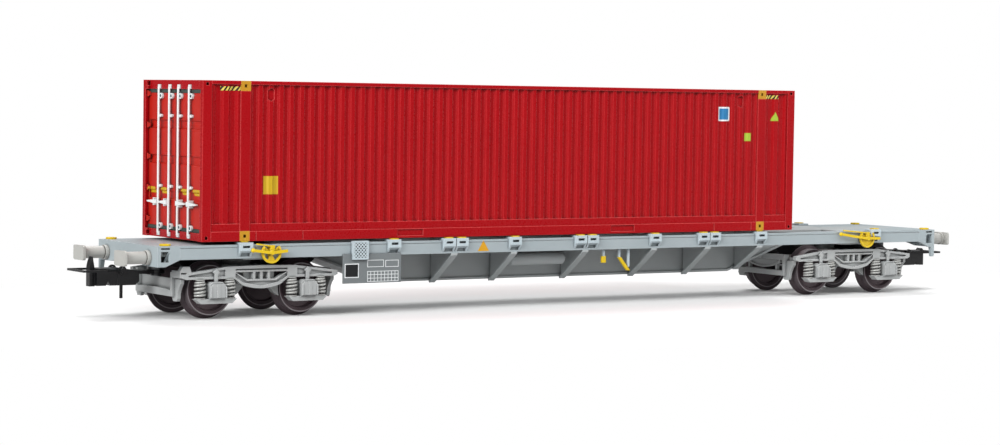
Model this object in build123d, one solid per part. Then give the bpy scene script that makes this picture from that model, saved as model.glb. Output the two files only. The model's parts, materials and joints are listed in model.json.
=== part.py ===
from build123d import *
import os

os.makedirs("parts", exist_ok=True)

# A scale model of a bogie flatcar that carries one long container, in millimetres.
# X runs along the wagon, Y across it, Z up. The origin is under the wagon's centre, on the floor.
# The left end is at -X, and the near side, with the data panel, is at -Y.

# Driving dimensions of the wagon
pivot_x = 82.0
end_overhang = 24.9
half_wheelbase = 10.8
flange_radius = 6.1
wheel_back_y = 7.2
deck_over_bogie = 4.5
sill_reach = 0.19

# Driving dimensions of the container
container_centre_x = -18.0
container_length = 157.66
container_width = 28.02
container_height = 33.29
container_gap = 0.7
lifting_inset = 9.95

# Running clearances and overruns
bore_clearance = 0.06
seat_gap = 0.02
pivot_gap = 0.1
cut_overrun = 1.0

# Wheels and axles
flange_height = 0.85
tyre_width = 2.8
flange_width = 0.75
flange_tip_width = 0.3
rim_thickness = 0.9
wheel_hub_radius = 1.5
disc_slope = 0.25
disc_outer_recess = 0.9
disc_inner_recess = 0.6
axle_radius = 0.75
journal_radius = 0.45
journal_length = 1.9
axle_body_overhang = 0.25

# Bogie side frames: the arm's underside is measured from the axle, the other heights from that underside
side_wheel_gap = 1.2
side_web_thickness = 0.9
side_rim_height = 0.45
side_rim_width = 0.5
side_arm_rise = 2.45
side_top_rise = 2.65
side_shoulder_rise = 2.5
side_shoulder_inset = 2.8
side_tip_reach = 1.4
side_tip_top_rise = 1.2
side_tip_bottom_rise = 0.35
side_tip_slope = 0.8
belly_gap = 0.05
belly_slant = 1.9
belly_side_drop = 1.4
belly_drop = 2.2
window_inset = 0.2
window_slant = 2.9
window_top_rise = 1.3
window_bottom_drop = 0.25
window_rim = 0.35
window_bar_width = 0.5
window_bar_share = 0.53

# Stop at one outer corner of each bogie: it closes the side frame's tip and stands on its arm
stop_reach = 2.0
stop_height = 1.5
stop_slope = 0.45
stop_shoulder = 0.6
stop_slot_reach = 0.85
stop_slot_inset = 0.15
stop_slot_height = 0.35
stop_slot_rise = 1.3
stop_slot_depth = 0.5

# Bogie centre
transom_half_length = 3.6
transom_bottom_drop = 0.95
transom_top_rise = 2.3
centre_boss_radius = 3.4
pivot_radius = 1.6
pivot_head_radius = 2.3
pivot_head_height = 0.6

# Bogie end beams: the inner one has an upper beam with a bow under it, the outer one a low back panel
end_beam_inset = 2.6
end_beam_overlap = 0.95
end_beam_depth = 1.55
end_beam_rise = 1.4
end_bar_bottom_z = 4.9
end_bar_height = 1.2
end_bar_crown = 0.35
end_top_beam_height = 1.25
end_cheek_width = 0.7
end_panel_thickness = 0.35
end_arm_height = 0.8
bow_half_width = 6.5
bow_side_drop = 0.7
bow_drop = 2.1
bow_setback = 0.3
bow_depth = 0.9
bow_lip = 0.35
bow_lip_depth = 0.35
end_post_width = 0.45
end_post_reach = 0.2
end_strut_y = 5.2
end_strut_width = 0.45
end_strut_height = 1.5

# Guards that hang in front of the wheels from the end beams
guard_thickness = 0.8
guard_foot_z = 3.9
guard_foot_inset = 0.2
guard_foot_outset = 0.3
guard_foot_height = 0.6
guard_foot_taper = 0.4
guard_shoulder = 0.9
guard_bow = 0.3

# Brake shoes that hang from the transom beside the wheels
shoe_gap = 0.25
shoe_side_gap = 0.1
shoe_rise = 0.95
shoe_drop = 1.6
shoe_thickness = 1.2
shoe_taper = 0.7
shoe_hanger_length = 1.3

# Axleboxes and springs
axlebox_half_width = 1.75
axlebox_drop = 1.6
axlebox_top_gap = 0.55
axlebox_depth = 2.5
axlebox_corner = 0.6
cover_radius = 1.25
cover_height = 0.35
tray_half_length = 4.7
tray_foot_half_length = 3.6
tray_height = 1.0
tray_width = 2.1
hanger_width = 0.7
hanger_height = 0.45
hanger_head = 0.75
hanger_head_rise = 1.45
spring_offset = 3.3
spring_radius = 1.05
spring_groove = 0.3
spring_coils = 5

# Spine beam: its belly tapers up to a shallow neck over each bogie
spine_half_width = 5.0
spine_flange = 0.5
spine_web_inset = 0.4
spine_bottom_z = 6.2
bogie_bay = 14.0
spine_slope_length = 19.5
neck_height = 2.8

# Side sills
sill_height = 2.9
sill_web = 0.8
sill_flange_reach = 2.4
sill_flange = 0.6
sill_line_drop = 0.5
sill_line_width = 0.12

# Headstocks
headstock_length = 5.1
headstock_plate = 0.8
headstock_height = 4.3
headstock_arch = 0.8
headstock_arch_inner_y = 4.2
headstock_arch_outer_y = 8.0
cheek_foot = 1.0
corner_pocket_width = 1.9
corner_pocket_top = 1.15
corner_pocket_height = 2.2
corner_strut_width = 0.45
corner_strut_run = 2.2
corner_slot_length = 2.0
corner_slot_height = 0.4
corner_slot_drop = 0.35
corner_slot_depth = 0.4
corner_tab_width = 0.9
corner_tab_length = 2.4
corner_tab_lean = 0.3
corner_tab_foot = 0.55
corner_tab_round = 0.4
end_deck_gap = 0.5

# Bolsters
bolster_half_length = 4.0
bolster_plate = 0.55
centre_plate_height = 0.35

# Outriggers between the spine and the sills
outrigger_web = 0.5
outrigger_strip_width = 1.6
outrigger_strip = 0.45

# Brackets that carry the container pins. The outer and inner ones stand under the lifting posts, and the
# others stand in a pair, singly and in a middle pair, at shares of the inner bracket's place.
bracket_pair_share = 0.6925
bracket_single_share = 0.383
bracket_pair_half = 1.65
bracket_length = 3.1
bracket_height = 0.45
bracket_hold = 1.8
bracket_reach = 0.8
bracket_front_drop = 1.8
bracket_slot_length = 1.7
bracket_slot_height = 0.5
bracket_slot_drop = 0.2
bracket_cheek = 0.45
bracket_recess_depth = 0.35
pin_cap_length = 1.7
pin_cap_width = 1.5
pin_cap_height = 0.23
spigot_radius = 0.6
spigot_height = 0.7
spigot_inset = 0.81
corner_disc_inset_x = 2.3
corner_disc_inset_y = 1.3
corner_disc_radius = 1.15
corner_disc_height = 0.4

# Buffers
buffer_y = 10.06
buffer_drop = 2.5
buffer_head_width = 5.0
buffer_head_height = 3.1
buffer_head_thickness = 0.6
buffer_head_corner = 0.45
buffer_sections = (
    # length, radius
    (0.85, 1.5),
    (0.2, 1.05),
    (4.3, 1.3),
    (0.6, 1.55),
)

# Data panel and chequered step plate on the near sill, placed from the inner bracket
panel_left_reach = 12.6
panel_right_reach = 1.8
panel_height = 6.3
panel_lap = 0.4
panel_thickness = 0.3
step_plate_left_reach = 10.5
step_plate_length = 3.9
step_plate_drop = 3.7
step_plate_rise = 0.3
step_plate_thickness = 0.4

# Air tank between the middle outrigger and the next one
tank_left_gap = 1.9
tank_right_gap = 2.3
tank_offset = 3.6
tank_drop = 4.9
tank_radius = 1.45
tank_dome = 0.5
tank_strap_width = 1.0
tank_strap_height = 1.0
tank_strap_inset = 2.5

# Brake rod handles under the near sill
handle_inset = 1.2
handle_post = 0.5
handle_grip_width = 1.1
valve_post_x = 5.9
valve_post_length = 1.6
valve_grip_height = 1.5
lever_post_x = (10.3, 12.9)
lever_drop = 1.9
lever_height = 3.1
lever_width = 0.9

# Hand wheels on the near side: places measured from the pivot of their own end
wheel_units = (
    # end, wheel, lever_left, lever_right
    (-1, 1.0, -2.6, 4.4),
    (1, 2.2, -6.9, 2.9),
)
handwheel_drop = 1.7
handwheel_radius = 2.3
handwheel_rim = 0.4
handwheel_hub = 0.7
handwheel_spokes = 5
handwheel_spoke_width = 0.45
handwheel_gap = 0.7
handwheel_plate = 0.3
handwheel_plate_half = 1.1
handwheel_lever_rise = 1.3
handwheel_lever_height = 0.7
handwheel_lever_drop = 0.7
handwheel_knob = 0.55

# Couplers: the left head stands a little above its drawbar, and the right one hangs below it
coupler_ends = (
    # end, head_rise, hook_rise
    ("left", 0.75, 2.35),
    ("right", -0.25, 0.45),
)
coupler_inset = 6.6
coupler_bar_drop = 0.75
coupler_pin_radius = 0.8
coupler_pin_head_height = 0.4
coupler_pin_head_reach = 0.4
coupler_bar_half_width = 1.5
coupler_bar_height = 0.75
coupler_eye_radius = 1.9
coupler_bar_length = 4.9
coupler_rear_length = 4.9
coupler_front_length = 4.55
coupler_step = 0.15
coupler_head_half_width = 2.2
coupler_head_height = 3.7
coupler_heel_length = 0.9
coupler_heel_height = 0.75
coupler_notch_start = 1.6
coupler_notch_length = 1.0
coupler_notch_height = 0.9
coupler_hook_length = 1.15
coupler_hook_drop = 0.15
coupler_hook_half_width = 0.85
coupler_hook_back = 0.45
coupler_hook_bulge = 0.12
trip_pin_offset = 3.1
trip_pin_radius = 0.35
trip_pin_length = 2.85
loop_pivot_offset = 4.0
loop_drop = 0.5
loop_wire = 0.45
loop_half_width = 4.1
loop_length = 9.4
loop_flare_length = 4.0
loop_pin_radius = 0.4
loop_pin_length = 0.65

# Container structure
wall_thickness = 0.9
rail_face_depth = 0.25
bottom_rail_height = 2.0
ledge_height = 1.6
ledge_face_depth = 0.15
top_rail_height = 0.75
wave_depth = 0.4
vent_offset = 62.7
vent_width = 1.6
vent_height = 2.9
vent_point = 0.5
vent_drop = 1.35
vent_depth = 0.75
pocket_offset = 28.5
pocket_length = 6.6
pocket_depth = 0.25
pocket_bottom = 0.45
pocket_top = 0.15
rail_joint_offsets = (55.05, 66.2)
rail_joint_width = 0.15
rail_joint_depth = 0.15
rib_count = 55
end_bay_ribs = 2
rib_flat_share = 0.36
rib_slope_share = 0.16
corner_post = 2.1
fitting_height = 1.5
fitting_slot_width = 0.45
fitting_slot_height = 0.9
casting_length = 2.3
casting_height = 2.1
casting_depth = 2.0
casting_hole_half = 0.32
spigot_hole_radius = 0.8
spigot_hole_depth = 1.2
roof_thickness = 0.6
roof_wave_depth = 0.25
roof_ribs = 44
floor_thickness = 0.8
cross_member_height = 1.0
cross_member_width = 0.7
cross_member_count = 28
end_wall_thickness = 0.9
end_wave_depth = 0.5
end_ribs = 8
header_height = 1.9
door_sill_height = 1.6
door_thickness = 1.0
door_gap = 0.25
door_post = 1.1
door_groove_count = 3
door_groove_half = 1.0
door_groove_depth = 0.4
door_groove_slope = 0.35
door_groove_margin = 0.6
door_frame_recess = 0.6
door_recess = 0.85
gasket_height = 0.85
gasket_depth = 0.2
hinge_count = 5
hinge_low_inset = 2.1
hinge_high_inset = 1.0
hinge_height = 1.2
hinge_strap = 1.1
hinge_reach = 0.3
hinge_radius = 0.28
locking_bar_places_share = (0.507, 0.15)
locking_bar_radius = 0.26
locking_bar_gap = 0.05
locking_bar_foot_inset = 0.8
locking_bar_top_inset = 1.4
keeper_half_width = 0.5
keeper_height = 0.9
bar_bracket_half = 0.35
bar_brackets_share = (
    # height along the bar as a share, with_ring
    (0.054, True),
    (0.324, False),
    (0.803, False),
    (0.937, True),
)
bar_ring_radius = 0.6
bar_ring_hole = 0.27
bar_ring_offset = 0.75
bar_stud_offset = 0.85
bar_stud_radius = 0.3
handle_height_share = 0.215
handle_length = 4.4
handle_root_half = 0.5
handle_tip_half = 0.12
handle_thickness = 0.3
handle_hub_offset = 1.2
handle_hub_half = 0.8
handle_hub_width = 0.35

# Places across the wagon
wheel_face_y = wheel_back_y + tyre_width
side_inner_y = wheel_face_y + side_wheel_gap
side_face_y = side_inner_y + side_web_thickness + side_rim_height
axlebox_face_y = side_inner_y + axlebox_depth
end_beam_half_width = side_inner_y - end_beam_inset
shoe_y = (wheel_back_y + flange_width + disc_slope + shoe_side_gap, wheel_face_y - shoe_side_gap)
container_face_y = container_width / 2
spigot_y = container_face_y - spigot_inset
frame_half_width = container_face_y + sill_reach
sill_inner_y = frame_half_width - sill_flange_reach
bracket_inner_y = frame_half_width - bracket_hold
bracket_face_y = frame_half_width + bracket_reach
corner_disc_y = frame_half_width - corner_disc_inset_y
handle_y = frame_half_width - handle_inset
tank_y = -spine_half_width - tank_offset
locking_bar_y = [side * share * container_face_y for share in locking_bar_places_share for side in (-1, 1)]

# Heights of the wheels and bogies
tread_radius = flange_radius - flange_height
rim_radius = tread_radius - rim_thickness
wheel_z = flange_radius
axlebox_bottom_z = wheel_z - axlebox_drop
tray_bottom_z = axlebox_bottom_z - tray_height
side_arm_bottom_z = wheel_z + side_arm_rise
axlebox_top_z = side_arm_bottom_z - axlebox_top_gap
hanger_head_z = side_arm_bottom_z + hanger_head_rise
side_top_z = side_arm_bottom_z + side_top_rise
side_shoulder_z = side_arm_bottom_z + side_shoulder_rise
side_tip_top_z = side_arm_bottom_z + side_tip_top_rise
side_tip_bottom_z = side_arm_bottom_z + side_tip_bottom_rise
belly_side_z = side_arm_bottom_z - belly_side_drop
belly_bottom_z = side_arm_bottom_z - belly_drop
window_top_z = side_arm_bottom_z + window_top_rise
window_bottom_z = side_arm_bottom_z - window_bottom_drop
transom_bottom_z = side_arm_bottom_z - transom_bottom_drop
transom_top_z = side_arm_bottom_z + transom_top_rise
end_beam_top_z = side_arm_bottom_z + end_beam_rise

# Heights of the frame, the couplers and the container
deck_z = side_top_z + deck_over_bogie
sill_bottom_z = deck_z - sill_height
spine_neck_z = deck_z - neck_height
bolster_low_z = spine_neck_z - bolster_plate
centre_boss_top_z = bolster_low_z - centre_plate_height - pivot_gap
headstock_bottom_z = deck_z - headstock_height
headstock_arch_z = headstock_bottom_z + headstock_arch
buffer_z = deck_z - buffer_drop
container_bottom_z = deck_z + container_gap
container_top_z = container_bottom_z + container_height
bracket_top_z = deck_z + bracket_height
bracket_front_z = deck_z - bracket_front_drop
bracket_slot_top_z = deck_z - bracket_slot_drop
pin_cap_top_z = bracket_top_z + pin_cap_height
spigot_top_z = container_bottom_z + spigot_height
panel_top_z = sill_bottom_z + panel_lap
bracket_foot_z = panel_top_z + seat_gap
tank_z = deck_z - tank_drop
valve_post_bottom_z = sill_bottom_z - valve_post_length
lever_top_z = sill_bottom_z - lever_drop
lever_bottom_z = lever_top_z - lever_height
handwheel_z = deck_z - handwheel_drop
handwheel_lever_z = handwheel_z + handwheel_lever_rise
coupler_bar_z = end_beam_top_z - coupler_bar_drop
coupler_bar_top_z = coupler_bar_z + coupler_bar_height
coupler_pin_low_z = coupler_bar_z - pivot_gap - coupler_pin_head_height
outer_panel_top_z = coupler_pin_low_z - 2 * pivot_gap
end_bar_top_z = end_bar_bottom_z + end_bar_height
end_top_beam_z = end_beam_top_z - end_top_beam_height

# Places along a bogie, from its pivot
side_tip_x = half_wheelbase + flange_radius + side_tip_reach
side_shoulder_x = half_wheelbase - side_shoulder_inset
belly_corner_x = half_wheelbase - spring_offset - spring_radius - belly_gap
belly_side_x = belly_corner_x - belly_slant
window_top_half = belly_corner_x - window_inset
window_bottom_half = window_top_half - window_slant
window_bar_x = window_bottom_half * window_bar_share
end_beam_inner_x = side_tip_x - end_beam_overlap
end_beam_outer_x = end_beam_inner_x + end_beam_depth

# Places along the wagon
headstock_face_x = pivot_x + end_overhang
headstock_inner_x = headstock_face_x - headstock_length
buffer_face_x = headstock_face_x + sum(length for length, radius in buffer_sections) + buffer_head_thickness
corner_disc_x = headstock_face_x - corner_disc_inset_x
end_deck_inner_x = pivot_x + bolster_half_length + end_deck_gap
spine_slope_end_x = pivot_x - bogie_bay
spine_flat_half = spine_slope_end_x - spine_slope_length
coupler_pivot_x = headstock_face_x - coupler_inset
coupler_head_x = coupler_pivot_x + coupler_bar_length
coupler_joint_x = coupler_head_x + coupler_rear_length
coupler_head_front_x = coupler_joint_x + coupler_front_length
coupler_hook_front_x = coupler_head_front_x + coupler_hook_length
loop_pivot_x = coupler_head_x + loop_pivot_offset
loop_tip_x = loop_pivot_x + loop_length
half_container = container_length / 2
container_left_x = container_centre_x - half_container
container_right_x = container_centre_x + half_container
post_left_x = container_left_x + lifting_inset
post_right_x = container_right_x - lifting_inset
bracket_single_x = post_right_x * bracket_single_share
bracket_pair_x = post_right_x * bracket_pair_share
outrigger_half = [post_right_x, bracket_pair_x, bracket_single_x]
outrigger_x = [-x for x in outrigger_half] + [0] + list(reversed(outrigger_half))
bracket_half = [
    -post_left_x, post_right_x, bracket_pair_x + bracket_pair_half, bracket_pair_x - bracket_pair_half,
    bracket_single_x, bracket_pair_half,
]
bracket_x = [-x for x in bracket_half] + list(reversed(bracket_half))
carrying_bracket_x = (post_left_x, post_right_x)
panel_x = (-post_right_x - panel_left_reach, -post_right_x + panel_right_reach)
step_plate_left_x = -post_right_x - step_plate_left_reach
step_plate_x = (step_plate_left_x, step_plate_left_x + step_plate_length)
tank_x = (-bracket_single_x + tank_left_gap, -tank_right_gap)
nodes_written = []


def save(name, shape):
    """Write one node and remember its name."""
    export_step(shape, "parts/" + name + ".step")
    nodes_written.append(name)


def block(x_ends, y_ends, z_ends):
    """A box between two places on each axis, given in either order."""
    ends = [sorted(pair) for pair in (x_ends, y_ends, z_ends)]
    sizes = [high - low for low, high in ends]
    middle = [(low + high) / 2 for low, high in ends]
    return Pos(*middle) * Box(*sizes)


def slab(points, start, depth, along):
    """A prism whose outline lies across the axis along, and starts at start on it."""
    axis = "xyz".index(along)
    corners = []
    for a, b in points:
        corner = [a, b]
        corner.insert(axis, start)
        corners.append(tuple(corner))
    way = [0, 0, 0]
    way[axis] = 1
    return extrude(make_face(Polyline(*corners, close=True)), amount=depth, dir=tuple(way))


def rod(radius, start, end):
    """A round bar between two points."""
    line = Vector(*end) - Vector(*start)
    return Plane(origin=start, z_dir=line) * Cylinder(
        radius, line.length, align=(Align.CENTER, Align.CENTER, Align.MIN))


def mirror_y(shape):
    """The same shape on the other side of the wagon."""
    return mirror(shape, about=Plane.XZ)


def mirror_x(shape):
    """The same shape at the other end of the wagon."""
    return mirror(shape, about=Plane.YZ)


def joined(shapes):
    """One solid from touching or crossing shapes."""
    first, *rest = shapes
    return first.fuse(*rest).clean() if rest else first


def group(shapes):
    """Separate solids that share a node."""
    return Compound(children=[part for shape in shapes for part in shape.solids()])


# Wheelsets

def wheel(side):
    """One rail wheel on the wagon's centre line, with a flange, a tread and a dished disc."""
    face = wheel_face_y
    back = wheel_back_y
    outer_web = face - disc_outer_recess
    inner_web = back + disc_inner_recess
    half_section = [
        (axle_radius, back),
        (wheel_hub_radius, back),
        (wheel_hub_radius + disc_slope, inner_web),
        (rim_radius - disc_slope, inner_web),
        (rim_radius, back),
        (flange_radius - disc_slope, back),
        (flange_radius, back + disc_slope),
        (flange_radius, back + disc_slope + flange_tip_width),
        (tread_radius, back + flange_width + disc_slope),
        (tread_radius, face),
        (rim_radius, face),
        (rim_radius - disc_slope, outer_web),
        (wheel_hub_radius + disc_slope, outer_web),
        (wheel_hub_radius, face),
        (axle_radius, face),
    ]
    ring = Polyline(*[(radius, side * y, 0) for radius, y in half_section], close=True)
    return revolve(make_face(ring), Axis.Y)


def axle():
    """The axle with its two thin journals."""
    body_end = wheel_face_y + axle_body_overhang
    tip = body_end + journal_length
    half_section = [
        (0, -tip),
        (journal_radius, -tip),
        (journal_radius, -body_end),
        (axle_radius, -body_end),
        (axle_radius, body_end),
        (journal_radius, body_end),
        (journal_radius, tip),
        (0, tip),
    ]
    return revolve(make_face(Polyline(*[(radius, y, 0) for radius, y in half_section], close=True)), Axis.Y)


def wheelset_places():
    """Number and centre of each axle from left to right."""
    return [
        (2 * bogie + end + 1, (2 * bogie - 1) * pivot_x + (2 * end - 1) * half_wheelbase)
        for bogie in (0, 1) for end in (0, 1)
    ]


# Bogie pieces are made around the pivot at x = 0 and moved to each end.

def side_outline():
    """Outline of a side frame: a low arch with two arms and a bow-shaped belly."""
    top = Polyline(
        (-side_tip_x, 0, side_tip_top_z),
        (-side_shoulder_x, 0, side_shoulder_z),
        (0, 0, side_top_z),
        (side_shoulder_x, 0, side_shoulder_z),
        (side_tip_x, 0, side_tip_top_z),
        (side_tip_x, 0, side_tip_bottom_z),
        (side_tip_x - side_tip_slope, 0, side_arm_bottom_z),
        (belly_corner_x, 0, side_arm_bottom_z),
        (belly_side_x, 0, belly_side_z),
    )
    belly = ThreePointArc(
        (belly_side_x, 0, belly_side_z), (0, 0, belly_bottom_z), (-belly_side_x, 0, belly_side_z))
    rest = Polyline(
        (-belly_side_x, 0, belly_side_z),
        (-belly_corner_x, 0, side_arm_bottom_z),
        (-side_tip_x + side_tip_slope, 0, side_arm_bottom_z),
        (-side_tip_x, 0, side_tip_bottom_z),
        (-side_tip_x, 0, side_tip_top_z),
    )
    return make_face(Wire(top.edges() + belly.edges() + rest.edges()))


def side_frame():
    """The near side frame with raised edges and a ribbed window."""
    face_depth = side_web_thickness + side_rim_height
    outline = side_outline()
    plate = Pos(0, -side_inner_y, 0) * extrude(outline, amount=face_depth, dir=(0, -1, 0))
    pocket_start = -side_face_y - cut_overrun
    pocket_depth = side_rim_height + cut_overrun
    arm_inner = side_shoulder_x + side_rim_width
    arm_slope = (side_shoulder_z - side_tip_top_z) / (side_tip_x - side_shoulder_x)
    arm_outer = side_tip_x - side_rim_width - side_tip_slope
    arm = [
        (arm_inner, side_arm_bottom_z + side_rim_width),
        (arm_outer, side_arm_bottom_z + side_rim_width),
        (arm_outer, side_tip_top_z - side_rim_width + arm_slope * (side_tip_x - arm_outer)),
        (arm_inner, side_tip_top_z - side_rim_width + arm_slope * (side_tip_x - arm_inner)),
    ]
    centre_x = belly_corner_x - side_rim_width / 2
    centre_z = side_shoulder_z - side_rim_width
    centre = [
        (-centre_x, centre_z),
        (-centre_x, side_arm_bottom_z + side_rim_width / 2),
        (-belly_side_x + side_rim_width / 2, belly_side_z + side_rim_width),
        (0, belly_bottom_z + side_rim_width),
        (belly_side_x - side_rim_width / 2, belly_side_z + side_rim_width),
        (centre_x, side_arm_bottom_z + side_rim_width / 2),
        (centre_x, centre_z),
    ]
    window = [
        (-window_top_half, window_top_z),
        (-window_bottom_half, window_bottom_z),
        (window_bottom_half, window_bottom_z),
        (window_top_half, window_top_z),
    ]
    window_frame = [
        (-window_top_half - 2 * window_rim, window_top_z + window_rim),
        (-window_bottom_half - window_rim / 2, window_bottom_z - window_rim),
        (window_bottom_half + window_rim / 2, window_bottom_z - window_rim),
        (window_top_half + 2 * window_rim, window_top_z + window_rim),
    ]
    pocket = slab(centre, pocket_start, pocket_depth, "y")
    pocket -= slab(window_frame, pocket_start, pocket_depth, "y")
    plate -= pocket
    for shape in (arm, [(-x, z) for x, z in arm]):
        plate -= slab(shape, pocket_start, pocket_depth, "y")
    opening = slab(window, -side_face_y - cut_overrun, face_depth + 2 * cut_overrun, "y")
    for bar_x in (-window_bar_x, 0, window_bar_x):
        half = window_bar_width / 2
        opening -= block((bar_x - half, bar_x + half), (-side_face_y, -side_inner_y),
                         (window_bottom_z - cut_overrun, window_top_z + cut_overrun))
    return plate - opening


def bogie_frame():
    """Both side frames, joined by the transom that turns on the pivot."""
    near = side_frame()
    transom = block((-transom_half_length, transom_half_length), (-side_inner_y, side_inner_y),
                    (transom_bottom_z, transom_top_z))
    boss = rod(centre_boss_radius, (0, 0, transom_bottom_z), (0, 0, centre_boss_top_z))
    bore = rod(pivot_radius + bore_clearance, (0, 0, transom_bottom_z - cut_overrun),
               (0, 0, centre_boss_top_z + cut_overrun))
    return joined([near, mirror_y(near), transom, boss]) - bore


def wheel_guard(side):
    """A guard in front of one wheel, from the arm of the end beam down to a rounded foot."""
    half = end_beam_half_width
    foot_inner = wheel_back_y + guard_foot_inset
    foot_outer = wheel_face_y - guard_foot_outset
    shoulder_z = side_arm_bottom_z - guard_shoulder
    foot_top_z = guard_foot_z + guard_foot_height
    bowed_y = (foot_outer + side_inner_y) / 2 - guard_bow
    bowed_z = (foot_top_z + shoulder_z) / 2 + guard_bow
    edge = ThreePointArc((end_beam_inner_x, side * side_inner_y, shoulder_z),
                         (end_beam_inner_x, side * bowed_y, bowed_z),
                         (end_beam_inner_x, side * foot_outer, foot_top_z))
    rest = Polyline(
        (end_beam_inner_x, side * foot_outer, foot_top_z),
        (end_beam_inner_x, side * (foot_outer - guard_foot_taper), guard_foot_z),
        (end_beam_inner_x, side * (foot_inner + guard_foot_taper), guard_foot_z),
        (end_beam_inner_x, side * foot_inner, foot_top_z),
        (end_beam_inner_x, side * foot_inner, end_bar_bottom_z),
        (end_beam_inner_x, side * half, end_bar_bottom_z),
        (end_beam_inner_x, side * half, side_arm_bottom_z),
        (end_beam_inner_x, side * side_inner_y, side_arm_bottom_z),
        (end_beam_inner_x, side * side_inner_y, shoulder_z),
    )
    outline = make_face(Wire(edge.edges() + rest.edges()))
    return extrude(outline, amount=guard_thickness, dir=(1, 0, 0))


def end_beam_sides():
    """What both end beams share: cheeks, arms to the side frames, and the guards."""
    half = end_beam_half_width
    cheek_x = (end_beam_inner_x, end_beam_outer_x)
    cheek_z = (end_bar_bottom_z, end_beam_top_z)
    arm_x = (end_beam_inner_x, side_tip_x - side_tip_slope)
    arm_z = (side_arm_bottom_z, side_arm_bottom_z + end_arm_height)
    pieces = []
    for side in (-1, 1):
        pieces.append(block(cheek_x, (side * (half - end_cheek_width), side * half), cheek_z))
        pieces.append(block(arm_x, (side * half, side * side_inner_y), arm_z))
        pieces.append(wheel_guard(side))
    return pieces


def bow_outline(lip):
    """The bow under the upper beam, or with a lip its recessed middle."""
    half = bow_half_width - lip
    top = end_top_beam_z + lip
    side_z = end_top_beam_z - bow_side_drop + lip
    curve = ThreePointArc((0, half, side_z), (0, 0, end_top_beam_z - bow_drop + lip), (0, -half, side_z))
    rest = Polyline((0, -half, side_z), (0, -half, top), (0, half, top), (0, half, side_z))
    return make_face(Wire(curve.edges() + rest.edges()))


def inner_end_beam():
    """The beam that faces the wagon's middle: upper beam, bow with a lip, and a slim lower bar."""
    half = end_beam_half_width
    x_ends = (end_beam_inner_x, end_beam_outer_x)
    bow_x = end_beam_inner_x + bow_setback
    bow = Pos(bow_x, 0, 0) * extrude(bow_outline(0), amount=bow_depth, dir=(1, 0, 0))
    recess = extrude(bow_outline(bow_lip), amount=bow_depth, dir=(1, 0, 0))
    bow -= Pos(bow_x + bow_depth - bow_lip_depth, 0, 0) * recess
    pieces = end_beam_sides() + [
        block(x_ends, (-half, half), (end_bar_bottom_z, end_bar_top_z)),
        block(x_ends, (-half, half), (end_top_beam_z, end_beam_top_z)),
        block((end_beam_outer_x, end_beam_outer_x + end_post_reach),
              (-end_post_width / 2, end_post_width / 2), (end_top_beam_z, end_beam_top_z)),
        bow,
    ]
    for side in (-1, 1):
        strut_y = side * end_strut_y
        pieces.append(block((bow_x, bow_x + bow_depth),
                            (strut_y - end_strut_width / 2, strut_y + end_strut_width / 2),
                            (end_bar_top_z, end_bar_top_z + end_strut_height)))
    return joined(pieces)


def stop_slot():
    """The narrow slot across the joint of stop and side frame, near side of the right bogie."""
    z = side_arm_bottom_z + stop_slot_rise
    return block((side_tip_x - stop_slot_reach, end_beam_outer_x - stop_slot_inset),
                 (-side_face_y - cut_overrun, -side_face_y + stop_slot_depth),
                 (z - stop_slot_height / 2, z + stop_slot_height / 2))


def end_stop():
    """The stop at the near outer corner of the right bogie, with the arm that carries it."""
    arm_slope = (side_shoulder_z - side_tip_top_z) / (side_tip_x - side_shoulder_x)
    start_x = side_tip_x - stop_reach
    shoulder_z = side_tip_top_z + stop_shoulder
    hook = slab([
        (side_tip_x, side_tip_bottom_z), (end_beam_outer_x, side_tip_bottom_z),
        (end_beam_outer_x, shoulder_z), (side_tip_x, side_tip_top_z + stop_height),
        (start_x + stop_slope, side_tip_top_z + stop_height),
        (start_x, side_tip_top_z + arm_slope * stop_reach), (side_tip_x, side_tip_top_z),
    ], -side_face_y, side_face_y - side_inner_y, "y")
    arm = block((side_tip_x, end_beam_outer_x), (-side_inner_y, -end_beam_half_width),
                (side_tip_bottom_z, shoulder_z))
    return joined([hook - stop_slot(), arm])


def outer_end_beam():
    """The beam that faces the coupler: a crowned lower bar, a low panel under the drawbar, and the stop."""
    half = end_beam_half_width
    crown = ThreePointArc((end_beam_inner_x, half, end_bar_top_z),
                          (end_beam_inner_x, 0, end_bar_top_z + end_bar_crown),
                          (end_beam_inner_x, -half, end_bar_top_z))
    rest = Polyline((end_beam_inner_x, -half, end_bar_top_z), (end_beam_inner_x, -half, end_bar_bottom_z),
                    (end_beam_inner_x, half, end_bar_bottom_z), (end_beam_inner_x, half, end_bar_top_z))
    bar = extrude(make_face(Wire(crown.edges() + rest.edges())), amount=end_beam_depth, dir=(1, 0, 0))
    panel = block((end_beam_inner_x, end_beam_inner_x + end_panel_thickness), (-half, half),
                  (end_bar_top_z, outer_panel_top_z))
    return joined(end_beam_sides() + [bar, panel, end_stop()])


def brake_shoe(end, side):
    """One brake shoe with its hanger, curved round the tread of the wheel that it stands beside."""
    radius = tread_radius + shoe_gap
    top_z = wheel_z + shoe_rise
    low_z = wheel_z - shoe_drop
    top_x = half_wheelbase - (radius ** 2 - shoe_rise ** 2) ** 0.5
    low_x = half_wheelbase - (radius ** 2 - shoe_drop ** 2) ** 0.5
    start_y = side * shoe_y[0]
    face = ThreePointArc((end * top_x, start_y, top_z), (end * (half_wheelbase - radius), start_y, wheel_z),
                         (end * low_x, start_y, low_z))
    rest = Polyline(
        (end * low_x, start_y, low_z),
        (end * (low_x - shoe_thickness), start_y, low_z + shoe_taper),
        (end * (transom_half_length - shoe_hanger_length), start_y, transom_bottom_z),
        (end * transom_half_length, start_y, transom_bottom_z),
        (end * top_x, start_y, top_z),
    )
    outline = make_face(Wire(face.edges() + rest.edges()))
    return extrude(outline, amount=shoe_y[1] - shoe_y[0], dir=(0, side, 0))


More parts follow.
